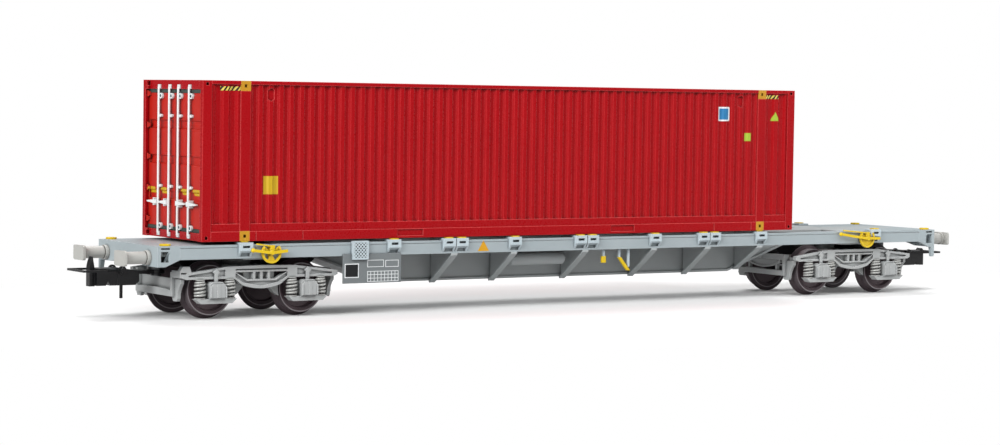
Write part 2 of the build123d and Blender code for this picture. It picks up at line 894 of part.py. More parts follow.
def axlebox(axle_x):
    """Axlebox, its rounded cover, the spring tray under it and the hanger over it, near side."""
    front = -axlebox_face_y
    back = -side_inner_y
    body = slab([
        (axle_x - axlebox_half_width, axlebox_bottom_z),
        (axle_x - axlebox_half_width, axlebox_top_z - axlebox_corner),
        (axle_x - axlebox_half_width + axlebox_corner, axlebox_top_z),
        (axle_x + axlebox_half_width - axlebox_corner, axlebox_top_z),
        (axle_x + axlebox_half_width, axlebox_top_z - axlebox_corner),
        (axle_x + axlebox_half_width, axlebox_bottom_z),
    ], front, back - front, "y")
    cover = rod(cover_radius, (axle_x, front, wheel_z), (axle_x, front - cover_height, wheel_z))
    tray = slab([
        (axle_x - tray_half_length, axlebox_bottom_z),
        (axle_x - tray_foot_half_length, tray_bottom_z),
        (axle_x + tray_foot_half_length, tray_bottom_z),
        (axle_x + tray_half_length, axlebox_bottom_z),
    ], back - tray_width, tray_width, "y")
    post_face = -side_face_y - hanger_height
    post = block((axle_x - hanger_width / 2, axle_x + hanger_width / 2), (-side_face_y, post_face),
                 (axlebox_top_z, hanger_head_z))
    head = slab([
        (axle_x - hanger_head, hanger_head_z),
        (axle_x, hanger_head_z - hanger_head),
        (axle_x + hanger_head, hanger_head_z),
        (axle_x, hanger_head_z + hanger_head),
    ], post_face, hanger_height, "y")
    bore = rod(journal_radius + bore_clearance, (axle_x, back + cut_overrun, wheel_z),
               (axle_x, -wheel_face_y - axle_body_overhang - journal_length - bore_clearance, wheel_z))
    return joined([body, cover, tray, post, head]) - bore


def spring(spring_x):
    """One coil spring as a grooved column between the tray and the side frame."""
    coil = (side_arm_bottom_z - axlebox_bottom_z) / spring_coils
    half_section = [(0, axlebox_bottom_z)]
    for turn in range(spring_coils):
        low = axlebox_bottom_z + turn * coil
        half_section.append((spring_radius - spring_groove, low))
        half_section.append((spring_radius, low + coil / 2))
    half_section.append((spring_radius - spring_groove, side_arm_bottom_z))
    half_section.append((0, side_arm_bottom_z))
    section = make_face(Polyline(*[(radius, 0, z) for radius, z in half_section], close=True))
    return Pos(spring_x, -(side_inner_y + spring_radius), 0) * revolve(section, Axis.Z)


def save_bogies():
    """Write the pieces of the left and right bogie."""
    axles = (-half_wheelbase, half_wheelbase)
    frame = bogie_frame()
    inner = inner_end_beam()
    outer = outer_end_beam()
    slot = stop_slot()
    frames = {"left": frame - mirror_x(slot), "right": frame - mirror_y(slot)}
    beams = {"left": [inner, mirror_x(outer)], "right": [mirror_x(inner), mirror_y(outer)]}
    boxes = [axlebox(x) for x in axles]
    springs = [spring(x + side * spring_offset) for x in axles for side in (-1, 1)]
    pieces = {
        "axleboxes": boxes + [mirror_y(box) for box in boxes],
        "bogie_springs": springs + [mirror_y(coil) for coil in springs],
        "brake_shoes": [brake_shoe(end, side) for end in (-1, 1) for side in (-1, 1)],
    }
    for end, x in (("left", -pivot_x), ("right", pivot_x)):
        save("bogie_frame_" + end, Pos(x, 0, 0) * frames[end])
        save("bogie_end_beams_" + end, group([Pos(x, 0, 0) * beam for beam in beams[end]]))
        for name, shapes in pieces.items():
            save(name + "_" + end, group([Pos(x, 0, 0) * shape for shape in shapes]))


def save_wheelsets():
    """Write wheels and axle of each wheelset."""
    for number, x in wheelset_places():
        place = Pos(x, 0, wheel_z)
        save("wheels_" + str(number), group([place * wheel(side) for side in (-1, 1)]))
        save("axle_" + str(number), place * axle())


# Wagon frame

def spine_beam():
    """The deep centre beam, with its belly tapering up to a shallow neck over each bogie."""
    def outline(inset):
        low = spine_bottom_z + inset
        neck = spine_neck_z + inset
        high = deck_z - inset
        end = headstock_inner_x - inset
        half = [(spine_flat_half, low), (spine_slope_end_x, neck), (end, neck), (end, high)]
        return [(-x, z) for x, z in reversed(half)] + half
    beam = slab(outline(0), -spine_half_width, 2 * spine_half_width, "y")
    pocket = slab(outline(spine_flange), spine_half_width - spine_web_inset,
                  spine_web_inset + cut_overrun, "y")
    return beam - pocket - mirror_y(pocket)


def side_sill():
    """The near side sill, a channel with its flanges turned inward."""
    web_y = frame_half_width - sill_web
    section = [
        (-frame_half_width, sill_bottom_z), (-sill_inner_y, sill_bottom_z),
        (-sill_inner_y, sill_bottom_z + sill_flange), (-web_y, sill_bottom_z + sill_flange),
        (-web_y, deck_z - sill_flange), (-sill_inner_y, deck_z - sill_flange),
        (-sill_inner_y, deck_z), (-frame_half_width, deck_z),
    ]
    sill = slab(section, -headstock_inner_x, 2 * headstock_inner_x, "x")
    line_z = deck_z - sill_line_drop
    sill -= block((-headstock_inner_x - cut_overrun, headstock_inner_x + cut_overrun),
                  (-frame_half_width - cut_overrun, -frame_half_width + sill_line_width),
                  (line_z - sill_line_width, line_z))
    half = bracket_length / 2 - bracket_cheek
    for x in bracket_x:
        sill -= block((x - half, x + half),
                      (-frame_half_width - cut_overrun, -frame_half_width + bracket_recess_depth),
                      (bracket_foot_z, bracket_front_z))
    return sill


def headstock():
    """The right headstock: arched face plate, top plate, sloping cheeks, and a tab at its near corner."""
    half = frame_half_width
    face = headstock_face_x
    foot = [(-half, deck_z), (-half, headstock_bottom_z)]
    foot += [(-headstock_arch_outer_y, headstock_bottom_z), (-headstock_arch_inner_y, headstock_arch_z)]
    foot += [(-y, z) for y, z in reversed(foot)]
    plate = slab(foot, face - headstock_plate, headstock_plate, "x")
    top = block((headstock_inner_x, face), (-half, half), (deck_z - sill_flange, deck_z))
    cheek = [
        (headstock_inner_x, deck_z), (headstock_inner_x, sill_bottom_z),
        (face - cheek_foot - headstock_plate, headstock_bottom_z), (face, headstock_bottom_z), (face, deck_z),
    ]
    near_cheek = slab(cheek, -half, sill_web, "y")
    pocket_x = face - headstock_plate - corner_pocket_width
    pocket_z = deck_z - corner_pocket_top
    foot_z = pocket_z - corner_pocket_height
    near_cheek -= block((pocket_x, face - headstock_plate),
                        (-half - cut_overrun, -half + sill_web + cut_overrun), (foot_z, pocket_z))
    slot_z = deck_z - corner_slot_drop
    slot = block((face - headstock_plate - corner_slot_length, face - headstock_plate),
                 (-half - cut_overrun, -half + corner_slot_depth), (slot_z - corner_slot_height, slot_z))
    strut = slab([
        (-half, pocket_z + corner_strut_width / 2), (-half, pocket_z - corner_strut_width / 2),
        (-half + corner_strut_run, foot_z - corner_strut_width / 2),
        (-half + corner_strut_run, foot_z + corner_strut_width / 2),
    ], pocket_x - corner_strut_width / 2, corner_strut_width, "x")
    tab_x = face - headstock_plate
    tab_z = headstock_bottom_z - corner_tab_length
    tab = slab([
        (tab_x - corner_tab_lean, headstock_bottom_z), (face, headstock_bottom_z),
        (face, tab_z + corner_tab_round), (face - corner_tab_round / 2, tab_z),
        (face - corner_tab_round / 2 - corner_tab_foot, tab_z),
        (tab_x, tab_z + corner_tab_round),
    ], -half, corner_tab_width, "y")
    whole = joined([plate, top, near_cheek, mirror_y(near_cheek), strut, mirror_y(strut), tab])
    return whole - slot - mirror_y(slot)


def end_deck():
    """The plate that closes the deck between the right headstock and the bolster, near side."""
    return block((end_deck_inner_x, headstock_inner_x), (-sill_inner_y, -spine_half_width),
                 (deck_z - sill_flange, deck_z))


def bolster():
    """The right bolster: a cross beam around the spine, with the centre plate and pivot pin."""
    x_ends = (pivot_x - bolster_half_length, pivot_x + bolster_half_length)
    low = bolster_low_z
    base = block(x_ends, (-sill_inner_y, sill_inner_y), (low, spine_neck_z))
    arm = block(x_ends, (-sill_inner_y, -spine_half_width), (spine_neck_z, deck_z))
    plate = rod(centre_boss_radius, (pivot_x, 0, low - centre_plate_height), (pivot_x, 0, low))
    pin = rod(pivot_radius, (pivot_x, 0, transom_bottom_z - pivot_gap), (pivot_x, 0, low))
    head = rod(pivot_head_radius, (pivot_x, 0, transom_bottom_z - pivot_gap - pivot_head_height),
               (pivot_x, 0, transom_bottom_z - pivot_gap))
    return joined([base, arm, mirror_y(arm), plate, pin, head])


def outrigger(x):
    """One bracket from the spine's foot to the near sill, with a strip along its slope."""
    foot = (-spine_half_width, spine_bottom_z)
    tip = (-frame_half_width, sill_bottom_z)
    foot_x = min(abs(x), spine_flat_half)
    rise = (spine_neck_z - spine_bottom_z) / (spine_slope_end_x - spine_flat_half) * (abs(x) - foot_x)
    foot = (-spine_half_width, spine_bottom_z + rise)
    web = slab([
        foot, tip, (-sill_inner_y, sill_bottom_z), (-sill_inner_y, deck_z), (-spine_half_width, deck_z),
    ], x - outrigger_web / 2, outrigger_web, "x")
    strip = slab([
        foot, tip, (tip[0], tip[1] - outrigger_strip), (foot[0], foot[1] - outrigger_strip),
    ], x - outrigger_strip_width / 2, outrigger_strip_width, "x")
    return joined([web, strip])


def pin_bracket(x):
    """The near bracket hooked over the sill's edge, with a slot in its face."""
    half = bracket_length / 2
    hook = slab([
        (-bracket_inner_y, deck_z), (-bracket_inner_y, bracket_top_z), (-bracket_face_y, bracket_top_z),
        (-bracket_face_y, bracket_front_z + bracket_slot_height), (-frame_half_width, bracket_front_z),
        (-frame_half_width, deck_z),
    ], x - half, bracket_length, "x")
    slot = block((x - bracket_slot_length / 2, x + bracket_slot_length / 2),
                 (-bracket_face_y - cut_overrun, -frame_half_width),
                 (bracket_slot_top_z - bracket_slot_height, bracket_slot_top_z))
    cheek = [
        (-bracket_face_y, bracket_front_z + bracket_slot_height), (-frame_half_width, bracket_foot_z),
        (-frame_half_width, bracket_front_z),
    ]
    cheeks = [slab(cheek, start, bracket_cheek, "x") for start in (x - half, x + half - bracket_cheek)]
    return joined([hook - slot] + cheeks)


def pin_cap(x):
    """A folded container pin: a low cap, or a round spigot where the container stands."""
    if x in carrying_bracket_x:
        pad = block((x - pin_cap_length / 2, x + pin_cap_length / 2),
                    (-bracket_inner_y, -bracket_inner_y - 2 * (spigot_y - bracket_inner_y)),
                    (bracket_top_z, container_bottom_z - seat_gap))
        foot_z = container_bottom_z - seat_gap
        spigot = rod(spigot_radius, (x, -spigot_y, foot_z), (x, -spigot_y, spigot_top_z))
        return joined([pad, spigot])
    return block((x - pin_cap_length / 2, x + pin_cap_length / 2),
                 (-bracket_face_y, -bracket_face_y + pin_cap_width), (bracket_top_z, pin_cap_top_z))


def corner_disc(x):
    """The round pin seat at a corner of the deck, near side."""
    top_z = deck_z + corner_disc_height
    return rod(corner_disc_radius, (x, -corner_disc_y, deck_z), (x, -corner_disc_y, top_z))


def buffer(side):
    """A buffer at the right end: head with rounded corners, sleeve, and a ring at each end of it."""
    head = Pos(buffer_face_x - buffer_head_thickness / 2, side * buffer_y, buffer_z) * Box(
        buffer_head_thickness, buffer_head_width, buffer_head_height)
    head = fillet(head.edges().filter_by(Axis.X), buffer_head_corner)
    pieces = [head]
    start_x = headstock_face_x
    for length, radius in buffer_sections:
        end_x = start_x + length
        pieces.append(rod(radius, (start_x, side * buffer_y, buffer_z), (end_x, side * buffer_y, buffer_z)))
        start_x = end_x
    return joined(pieces)


def data_panel():
    """The plate that hangs from the near sill."""
    return block(panel_x, (-frame_half_width - panel_thickness, -frame_half_width),
                 (panel_top_z - panel_height, panel_top_z))


def step_plate():
    """The plate that stands proud of the near sill, over the top of the data panel."""
    low = deck_z - step_plate_drop
    high = deck_z + step_plate_rise
    panel_face = frame_half_width + panel_thickness
    plate_face = panel_face + step_plate_thickness
    outline = [
        (-frame_half_width, panel_top_z), (-panel_face, panel_top_z), (-panel_face, low),
        (-plate_face, low), (-plate_face, high), (-frame_half_width, high),
    ]
    return slab(outline, step_plate_x[0], step_plate_x[1] - step_plate_x[0], "x")


def air_tank():
    """The air tank beside the spine, with domed ends and two straps to the beam."""
    left, right = tank_x
    half_section = [
        (left, 0), (left, tank_radius - tank_dome), (left + tank_dome, tank_radius),
        (right - tank_dome, tank_radius), (right, tank_radius - tank_dome), (right, 0),
    ]
    tank = revolve(make_face(Polyline(*[(x, 0, z) for x, z in half_section], close=True)), Axis.X)
    tank = Pos(0, tank_y, tank_z) * tank
    straps = []
    for x in (left + tank_strap_inset, right - tank_strap_inset):
        straps.append(block((x - tank_strap_width / 2, x + tank_strap_width / 2),
                            (tank_y, -spine_half_width + spine_web_inset),
                            (tank_z - tank_strap_height / 2, tank_z + tank_strap_height / 2)))
    return joined([tank] + straps)


def brake_posts():
    """The thin posts under the near sill that carry the brake handles."""
    posts = []
    lever_fall = (lever_top_z - lever_bottom_z) / (lever_post_x[1] - lever_post_x[0])
    lever_reach = lever_post_x[1] - handle_post / 2 - (lever_post_x[0] + lever_width / 2)
    places = (
        # post_x, foot_z
        (valve_post_x, valve_post_bottom_z),
        (lever_post_x[0], lever_top_z),
        (lever_post_x[1], lever_top_z - lever_fall * lever_reach),
    )
    for x, low in places:
        posts.append(block((x - handle_post / 2, x + handle_post / 2),
                           (-handle_y - handle_post / 2, -handle_y + handle_post / 2), (low, sill_bottom_z)))
    return posts


def brake_handles():
    """The two coloured grips: a short one under its post and a leaning one between two posts."""
    y_start = -handle_y - handle_post / 2
    grip = block((valve_post_x - handle_grip_width / 2, valve_post_x + handle_grip_width / 2),
                 (y_start, y_start + handle_post),
                 (valve_post_bottom_z - valve_grip_height, valve_post_bottom_z))
    half = lever_width / 2
    start, end = lever_post_x
    lean = [
        (start - half, lever_top_z), (start + half, lever_top_z),
        (end + half, lever_bottom_z), (end - half, lever_bottom_z),
    ]
    return [grip, slab(lean, y_start, handle_post, "y")]


def handwheel_unit(end, wheel, lever_left, lever_right):
    """A hand wheel in front of the near sill, with its bracket plate and a lever across it."""
    wheel_x = end * pivot_x + wheel
    lever_left_x = end * pivot_x + lever_left
    lever_right_x = end * pivot_x + lever_right
    plate_y = -frame_half_width - handwheel_plate
    wheel_y = plate_y - handwheel_gap
    face_y = wheel_y - handwheel_rim
    plate = block((wheel_x - handwheel_plate_half, wheel_x + handwheel_plate_half),
                  (-frame_half_width, plate_y), (sill_bottom_z, handwheel_z + handwheel_plate_half))
    spindle = rod(handwheel_hub, (wheel_x, -frame_half_width, handwheel_z), (wheel_x, face_y, handwheel_z))
    rim = rod(handwheel_radius, (wheel_x, wheel_y, handwheel_z), (wheel_x, face_y, handwheel_z))
    rim -= rod(handwheel_radius - handwheel_rim, (wheel_x, wheel_y + cut_overrun, handwheel_z),
               (wheel_x, face_y - cut_overrun, handwheel_z))
    pieces = [plate, spindle, rim]
    spoke_reach = handwheel_radius - handwheel_rim / 2
    for turn in range(handwheel_spokes):
        spoke = block((0, spoke_reach), (wheel_y, face_y),
                      (-handwheel_spoke_width / 2, handwheel_spoke_width / 2))
        pieces.append(Pos(wheel_x, 0, handwheel_z) * Rot(0, 360 / handwheel_spokes * turn, 0) * spoke)
    lever = slab([
        (lever_left_x, handwheel_lever_z), (lever_left_x, handwheel_lever_z + handwheel_lever_height),
        (lever_right_x, handwheel_lever_z + handwheel_lever_height - handwheel_lever_drop),
        (lever_right_x, handwheel_lever_z - handwheel_lever_drop),
    ], plate_y - handwheel_plate, handwheel_plate, "y")
    knob_z = handwheel_lever_z + handwheel_lever_height / 2
    knob = Pos(lever_left_x, plate_y - handwheel_plate / 2, knob_z) * Sphere(handwheel_knob)
    knob &= block((lever_left_x - handwheel_knob, lever_left_x + handwheel_knob), (plate_y, face_y),
                  (handwheel_lever_z - handwheel_knob, handwheel_lever_z + 2 * handwheel_knob))
    return joined(pieces + [lever, knob])


def coupler_pin():
    """The pin under the right neck that the coupler swings on."""
    pin = rod(coupler_pin_radius, (coupler_pivot_x, 0, coupler_pin_low_z), (coupler_pivot_x, 0, spine_neck_z))
    head = rod(coupler_pin_radius + coupler_pin_head_reach, (coupler_pivot_x, 0, coupler_pin_low_z),
               (coupler_pivot_x, 0, coupler_bar_z - pivot_gap))
    seat = rod(coupler_eye_radius, (coupler_pivot_x, 0, coupler_bar_top_z + pivot_gap),
               (coupler_pivot_x, 0, spine_neck_z))
    return joined([pin, head, seat])


def save_frame():
    """Write the pieces that are fixed to the wagon's frame."""
    sill = side_sill()
    end = headstock()
    deck = end_deck()
    deck_pair = [deck, mirror_y(deck)]
    cross = bolster()
    outriggers = [outrigger(x) for x in outrigger_x]
    brackets = [pin_bracket(x) for x in bracket_x]
    caps = [pin_cap(x) for x in bracket_x] + [corner_disc(x) for x in (-corner_disc_x, corner_disc_x)]
    buffers = [buffer(side) for side in (-1, 1)]
    pin = coupler_pin()
    wheels = [handwheel_unit(*unit) for unit in wheel_units]
    save("spine_beam", spine_beam())
    save("side_sill_near", sill)
    save("side_sill_far", mirror_y(sill))
    save("headstock_left", mirror_x(mirror_y(end)))
    save("headstock_right", end)
    save("end_decks", group(deck_pair + [mirror_x(plate) for plate in deck_pair]))
    save("bolster_left", mirror_x(cross))
    save("bolster_right", cross)
    save("outriggers_near", group(outriggers))
    save("outriggers_far", group([mirror_y(piece) for piece in outriggers]))
    save("pin_brackets_near", group(brackets))
    save("pin_brackets_far", group([mirror_y(piece) for piece in brackets]))
    save("container_pins", group(caps + [mirror_y(cap) for cap in caps]))
    save("buffers_left", group([mirror_x(piece) for piece in buffers]))
    save("buffers_right", group(buffers))
    save("data_panel", data_panel())
    save("step_plate", step_plate())
    save("air_tank", air_tank())
    save("brake_posts", group(brake_posts()))
    save("brake_handles", group(brake_handles()))
    save("handwheels_near", group(wheels))
    save("handwheels_far", group([mirror_x(mirror_y(unit)) for unit in wheels]))
    save("coupler_pins", group([pin, mirror_x(pin)]))


# Couplers

def coupler_head(head_rise, hook_rise):
    """A right coupler: drawbar with its eye, two-part head, pointed hook plate, trip pin and loop pins."""
    bar_top = coupler_bar_top_z
    head_top = bar_top + head_rise
    head_low = head_top - coupler_head_height
    half = coupler_head_half_width
    front_half = half - coupler_step
    eye = rod(coupler_eye_radius, (coupler_pivot_x, 0, coupler_bar_z), (coupler_pivot_x, 0, bar_top))
    bar = block((coupler_pivot_x, coupler_head_x), (-coupler_bar_half_width, coupler_bar_half_width),
                (coupler_bar_z, bar_top))
    rear = slab([
        (coupler_head_x, bar_top), (coupler_joint_x, head_top), (coupler_joint_x, head_low),
        (coupler_head_x + coupler_heel_length, head_low), (coupler_head_x, head_low + coupler_heel_height),
    ], -half, 2 * half, "y")
    front = block((coupler_joint_x, coupler_head_front_x), (-front_half, front_half),
                  (head_low, head_top - coupler_step))
    notch_x = coupler_joint_x + coupler_notch_start
    notch_end_x = notch_x + coupler_notch_length
    front -= slab([
        (notch_x, head_low - cut_overrun), (notch_x, head_low),
        ((notch_x + notch_end_x) / 2, head_low + coupler_notch_height),
        (notch_end_x, head_low), (notch_end_x, head_low - cut_overrun),
    ], -half, 2 * half, "y")
    hook_low = head_low - coupler_hook_drop
    hook_top = head_top + hook_rise
    hook_back_x = coupler_head_front_x + coupler_hook_back
    nose = ThreePointArc(
        (coupler_hook_front_x, 0, head_top - coupler_step),
        ((coupler_hook_front_x + hook_back_x) / 2 + coupler_hook_bulge, 0, (head_top + hook_top) / 2),
        (hook_back_x, 0, hook_top))
    rest = Polyline((hook_back_x, 0, hook_top), (coupler_head_front_x, 0, head_top - coupler_step),
                    (coupler_head_front_x, 0, hook_low), (coupler_hook_front_x, 0, hook_low),
                    (coupler_hook_front_x, 0, head_top - coupler_step))
    hook_face = make_face(Wire(nose.edges() + rest.edges()))
    hook = Pos(0, coupler_hook_half_width, 0) * extrude(
        hook_face, amount=2 * coupler_hook_half_width, dir=(0, -1, 0))
    trip_x = coupler_head_x + trip_pin_offset
    trip = rod(trip_pin_radius, (trip_x, 0, head_low - trip_pin_length), (trip_x, 0, head_low))
    loop_z = head_top - loop_drop
    loop_pin = rod(loop_pin_radius, (loop_pivot_x, -half - loop_pin_length, loop_z),
                   (loop_pivot_x, half + loop_pin_length, loop_z))
    bore = rod(coupler_pin_radius + bore_clearance, (coupler_pivot_x, 0, coupler_bar_z - cut_overrun),
               (coupler_pivot_x, 0, bar_top + cut_overrun))
    return joined([eye, bar, rear, front, hook, trip, loop_pin]) - bore


def coupler_loop(head_rise):
    """A right loop: two side arms with eyes on the head's pins, and a cross wire at the tip."""
    half_wire = loop_wire / 2
    loop_z = coupler_bar_top_z + head_rise - loop_drop
    arms = []
    eye_inner = coupler_head_half_width + bore_clearance
    eye_outer = eye_inner + loop_wire
    arm_start_x = loop_pivot_x + loop_pin_radius + half_wire
    flare_x = loop_pivot_x + loop_flare_length
    for side in (-1, 1):
        eye = rod(loop_pin_radius + loop_wire, (loop_pivot_x, side * eye_inner, loop_z),
                  (loop_pivot_x, side * eye_outer, loop_z))
        eye -= rod(loop_pin_radius + bore_clearance, (loop_pivot_x, side * (eye_inner - cut_overrun), loop_z),
                   (loop_pivot_x, side * (eye_outer + cut_overrun), loop_z))
        arm = slab([
            (arm_start_x, side * eye_inner), (arm_start_x, side * eye_outer),
            (flare_x, side * loop_half_width), (loop_tip_x, side * loop_half_width),
            (loop_tip_x, side * (loop_half_width - loop_wire)),
            (flare_x + half_wire, side * (loop_half_width - loop_wire)),
        ], loop_z - half_wire, loop_wire, "z")
        arms += [eye, arm]
    tip = block((loop_tip_x - loop_wire, loop_tip_x), (-loop_half_width, loop_half_width),
                (loop_z - half_wire, loop_z + half_wire))
    return joined(arms + [tip])


def save_couplers():
    """Write the coupler and its loop at each end."""
    for end, head_rise, hook_rise in coupler_ends:
        head = coupler_head(head_rise, hook_rise)
        loop = coupler_loop(head_rise)
        save("coupler_" + end, mirror_x(head) if end == "left" else head)
        save("coupler_loop_" + end, mirror_x(loop) if end == "left" else loop)


# Container

def wave(start, end, count, face, depth):
    """Outer edge of a corrugated sheet: flats on the face joined by grooves, between two ends."""
    pitch = (end - start) / count
    flat = pitch * rib_flat_share
    slope = pitch * rib_slope_share
    points = [(start, face)]
    for rib in range(count):
        first = start + rib * pitch + flat / 2
        last = start + (rib + 1) * pitch - flat / 2
        points += [(first, face), (first + slope, face - depth), (last - slope, face - depth), (last, face)]
    points.append((end, face))
    return points


def vent(x):
    """What an air vent takes out of the near side wall: a tall hexagon under the top rail."""
    high = container_top_z - vent_drop
    low = high - vent_height
    half = vent_width / 2
    return slab([
        (x, low), (x + half, low + vent_point), (x + half, high - vent_point),
        (x, high), (x - half, high - vent_point), (x - half, low + vent_point),
    ], -container_face_y - cut_overrun, vent_depth + cut_overrun, "y")


def container_side():
    """The near side wall: three corrugated bays, two flat posts, rails, vents and lifting pockets."""
    left = container_left_x + corner_post
    right = container_right_x - corner_post
    low = container_bottom_z
    high = container_top_z
    first, last = post_left_x, post_right_x
    half_post = casting_length / 2
    wave_face = container_face_y - rail_face_depth
    inner_y = container_face_y - wall_thickness
    bays = (
        # start, end, ribs
        (left, first - half_post, end_bay_ribs),
        (first + half_post, last - half_post, rib_count),
        (last + half_post, right, end_bay_ribs),
    )
    outline = [(left, inner_y)]
    for start, end, ribs in bays:
        outline += [(start, container_face_y)] if start != left else []
        outline += wave(start, end, ribs, wave_face, wave_depth)
        outline += [(end, container_face_y)] if end != right else []
    outline.append((right, inner_y))
    sheet = slab([(x, -y) for x, y in outline], low, high - low, "z")
    pieces = [sheet]
    ledge_top = low + bottom_rail_height + ledge_height
    for start, end, ribs in bays:
        pieces.append(block((start, end), (-inner_y, -container_face_y), (low, low + bottom_rail_height)))
        pieces.append(block((start, end), (-inner_y, -container_face_y + ledge_face_depth),
                            (low + bottom_rail_height, ledge_top)))
        pieces.append(block((start, end), (-inner_y, -container_face_y), (high - top_rail_height, high)))
    wall = joined(pieces)
    for x in (first, last):
        for z_ends in ((low, low + casting_height), (high - casting_height, high)):
            wall -= block((x - half_post, x + half_post), (-container_face_y, -inner_y), z_ends)
    outside = -container_face_y - cut_overrun
    for side in (-1, 1):
        wall -= vent(container_centre_x + side * vent_offset)
        middle = container_centre_x + side * pocket_offset
        wall -= block((middle - pocket_length / 2, middle + pocket_length / 2),
                      (outside, -container_face_y + pocket_depth),
                      (low + pocket_bottom, low + bottom_rail_height - pocket_top))
        for offset in rail_joint_offsets:
            x = container_centre_x + side * offset
            wall -= block((x - rail_joint_width / 2, x + rail_joint_width / 2),
                          (outside, -container_face_y + rail_joint_depth), (low, low + bottom_rail_height))
    return wall


def castings():
    """Lifting castings at the near posts, top and bottom, each with holes in its faces."""
    solids = []
    half = casting_length / 2
    hole = casting_hole_half
    face = -container_face_y
    for x in (post_left_x, post_right_x):
        for low in (container_bottom_z, container_top_z - casting_height):
            high = low + casting_height
            box = block((x - half, x + half), (face, face + casting_depth), (low, high))
            middle_z = (low + high) / 2
            box -= block((x - hole, x + hole), (face - cut_overrun, face + wall_thickness),
                         (middle_z - hole, middle_z + hole))
            if low == container_bottom_z:
                box -= rod(spigot_hole_radius, (x, -spigot_y, low - cut_overrun),
                           (x, -spigot_y, low + spigot_hole_depth))
            solids.append(box)
    return solids


def corner_post_solid():
    """The right near corner post with its top and bottom fittings."""
    right = container_right_x
    face = -container_face_y
    low = container_bottom_z
    high = container_top_z
    post = block((right - corner_post, right), (face, face + corner_post), (low, high))
    for z_ends in ((low, low + fitting_height), (high - fitting_height, high)):
        middle_z = sum(z_ends) / 2
        middle_x = right - corner_post / 2
        hole = casting_hole_half
        post -= block((middle_x - hole, middle_x + hole), (face - cut_overrun, face + wall_thickness),
                      (middle_z - hole, middle_z + hole))
        inner_y = face + corner_post
        post -= block((right - wall_thickness, right + cut_overrun), (inner_y - fitting_slot_width, inner_y),
                      (middle_z - fitting_slot_height / 2, middle_z + fitting_slot_height / 2))
    return post


def door_post_solid():
    """The left near corner post, cut back to a narrow face beside the door leaf."""
    post = Pos(2 * container_centre_x, 0, 0) * mirror_x(corner_post_solid())
    return post - block((container_left_x - cut_overrun, container_left_x + corner_post + cut_overrun),
                        (-container_face_y + door_post, -container_face_y + corner_post + cut_overrun),
                        (container_bottom_z + door_sill_height, container_top_z - header_height))


def container_roof():
    """The roof sheet between the side walls, with cross corrugations."""
    left = container_left_x + corner_post
    right = container_right_x - corner_post
    inner_y = container_face_y - wall_thickness
    top = wave(left, right, roof_ribs, container_top_z - roof_wave_depth, roof_wave_depth)
    outline = [(left, container_top_z - roof_thickness - 2 * roof_wave_depth)] + top
    outline.append((right, container_top_z - roof_thickness - 2 * roof_wave_depth))
    sheet = slab(outline, -inner_y, 2 * inner_y, "y")
    half = casting_length / 2
    for x in (post_left_x, post_right_x):
        for side in (-1, 1):
            sheet -= block((x - half, x + half), (side * inner_y, side * (container_face_y - casting_depth)),
                           (container_top_z - casting_height, container_top_z))
    return sheet


def container_floor():
    """The floor plate with its cross members, between the side walls."""
    left = container_left_x + corner_post
    right = container_right_x - corner_post
    inner_y = container_face_y - wall_thickness
    floor_low = container_bottom_z + cross_member_height
    pieces = [block((left, right), (-inner_y, inner_y), (floor_low, floor_low + floor_thickness))]
    pitch = (right - left) / cross_member_count
    for number in range(cross_member_count):
        x = left + pitch * (number + 1 / 2)
        pieces.append(block((x - cross_member_width / 2, x + cross_member_width / 2), (-inner_y, inner_y),
                            (container_bottom_z + seat_gap, floor_low)))
    base = joined(pieces)
    half = casting_length / 2
    for x in (post_left_x, post_right_x):
        for side in (-1, 1):
            base -= block((x - half, x + half), (side * inner_y, side * (container_face_y - casting_depth)),
                          (container_bottom_z, container_bottom_z + casting_height))
    return base


def container_front():
    """The blank end wall between the right corner posts, with upright corrugations."""
    half = container_face_y - corner_post
    face = container_right_x - rail_face_depth
    outline = [(-half, face - end_wall_thickness - end_wave_depth)]
    outline += wave(-half, half, end_ribs, face, end_wave_depth)
    outline.append((half, face - end_wall_thickness - end_wave_depth))
    sheet = slab([(x, y) for y, x in outline], container_bottom_z, container_height, "z")
    back = face - end_wall_thickness - end_wave_depth
    sill_top = container_bottom_z + bottom_rail_height
    rails = [
        block((back, container_right_x), (-half, half), (container_bottom_z, sill_top)),
        block((back, container_right_x), (-half, half), (container_top_z - header_height, container_top_z)),
    ]
    return joined([sheet] + rails)


def door_frame():
    """Sill and header of the door end, between the left corner posts."""
    half = container_face_y - corner_post
    x_ends = (container_left_x + door_frame_recess, container_left_x + corner_post)
    return [
        block(x_ends, (-half, half), (container_bottom_z, container_bottom_z + door_sill_height)),
        block(x_ends, (-half, half), (container_top_z - header_height, container_top_z)),
    ]


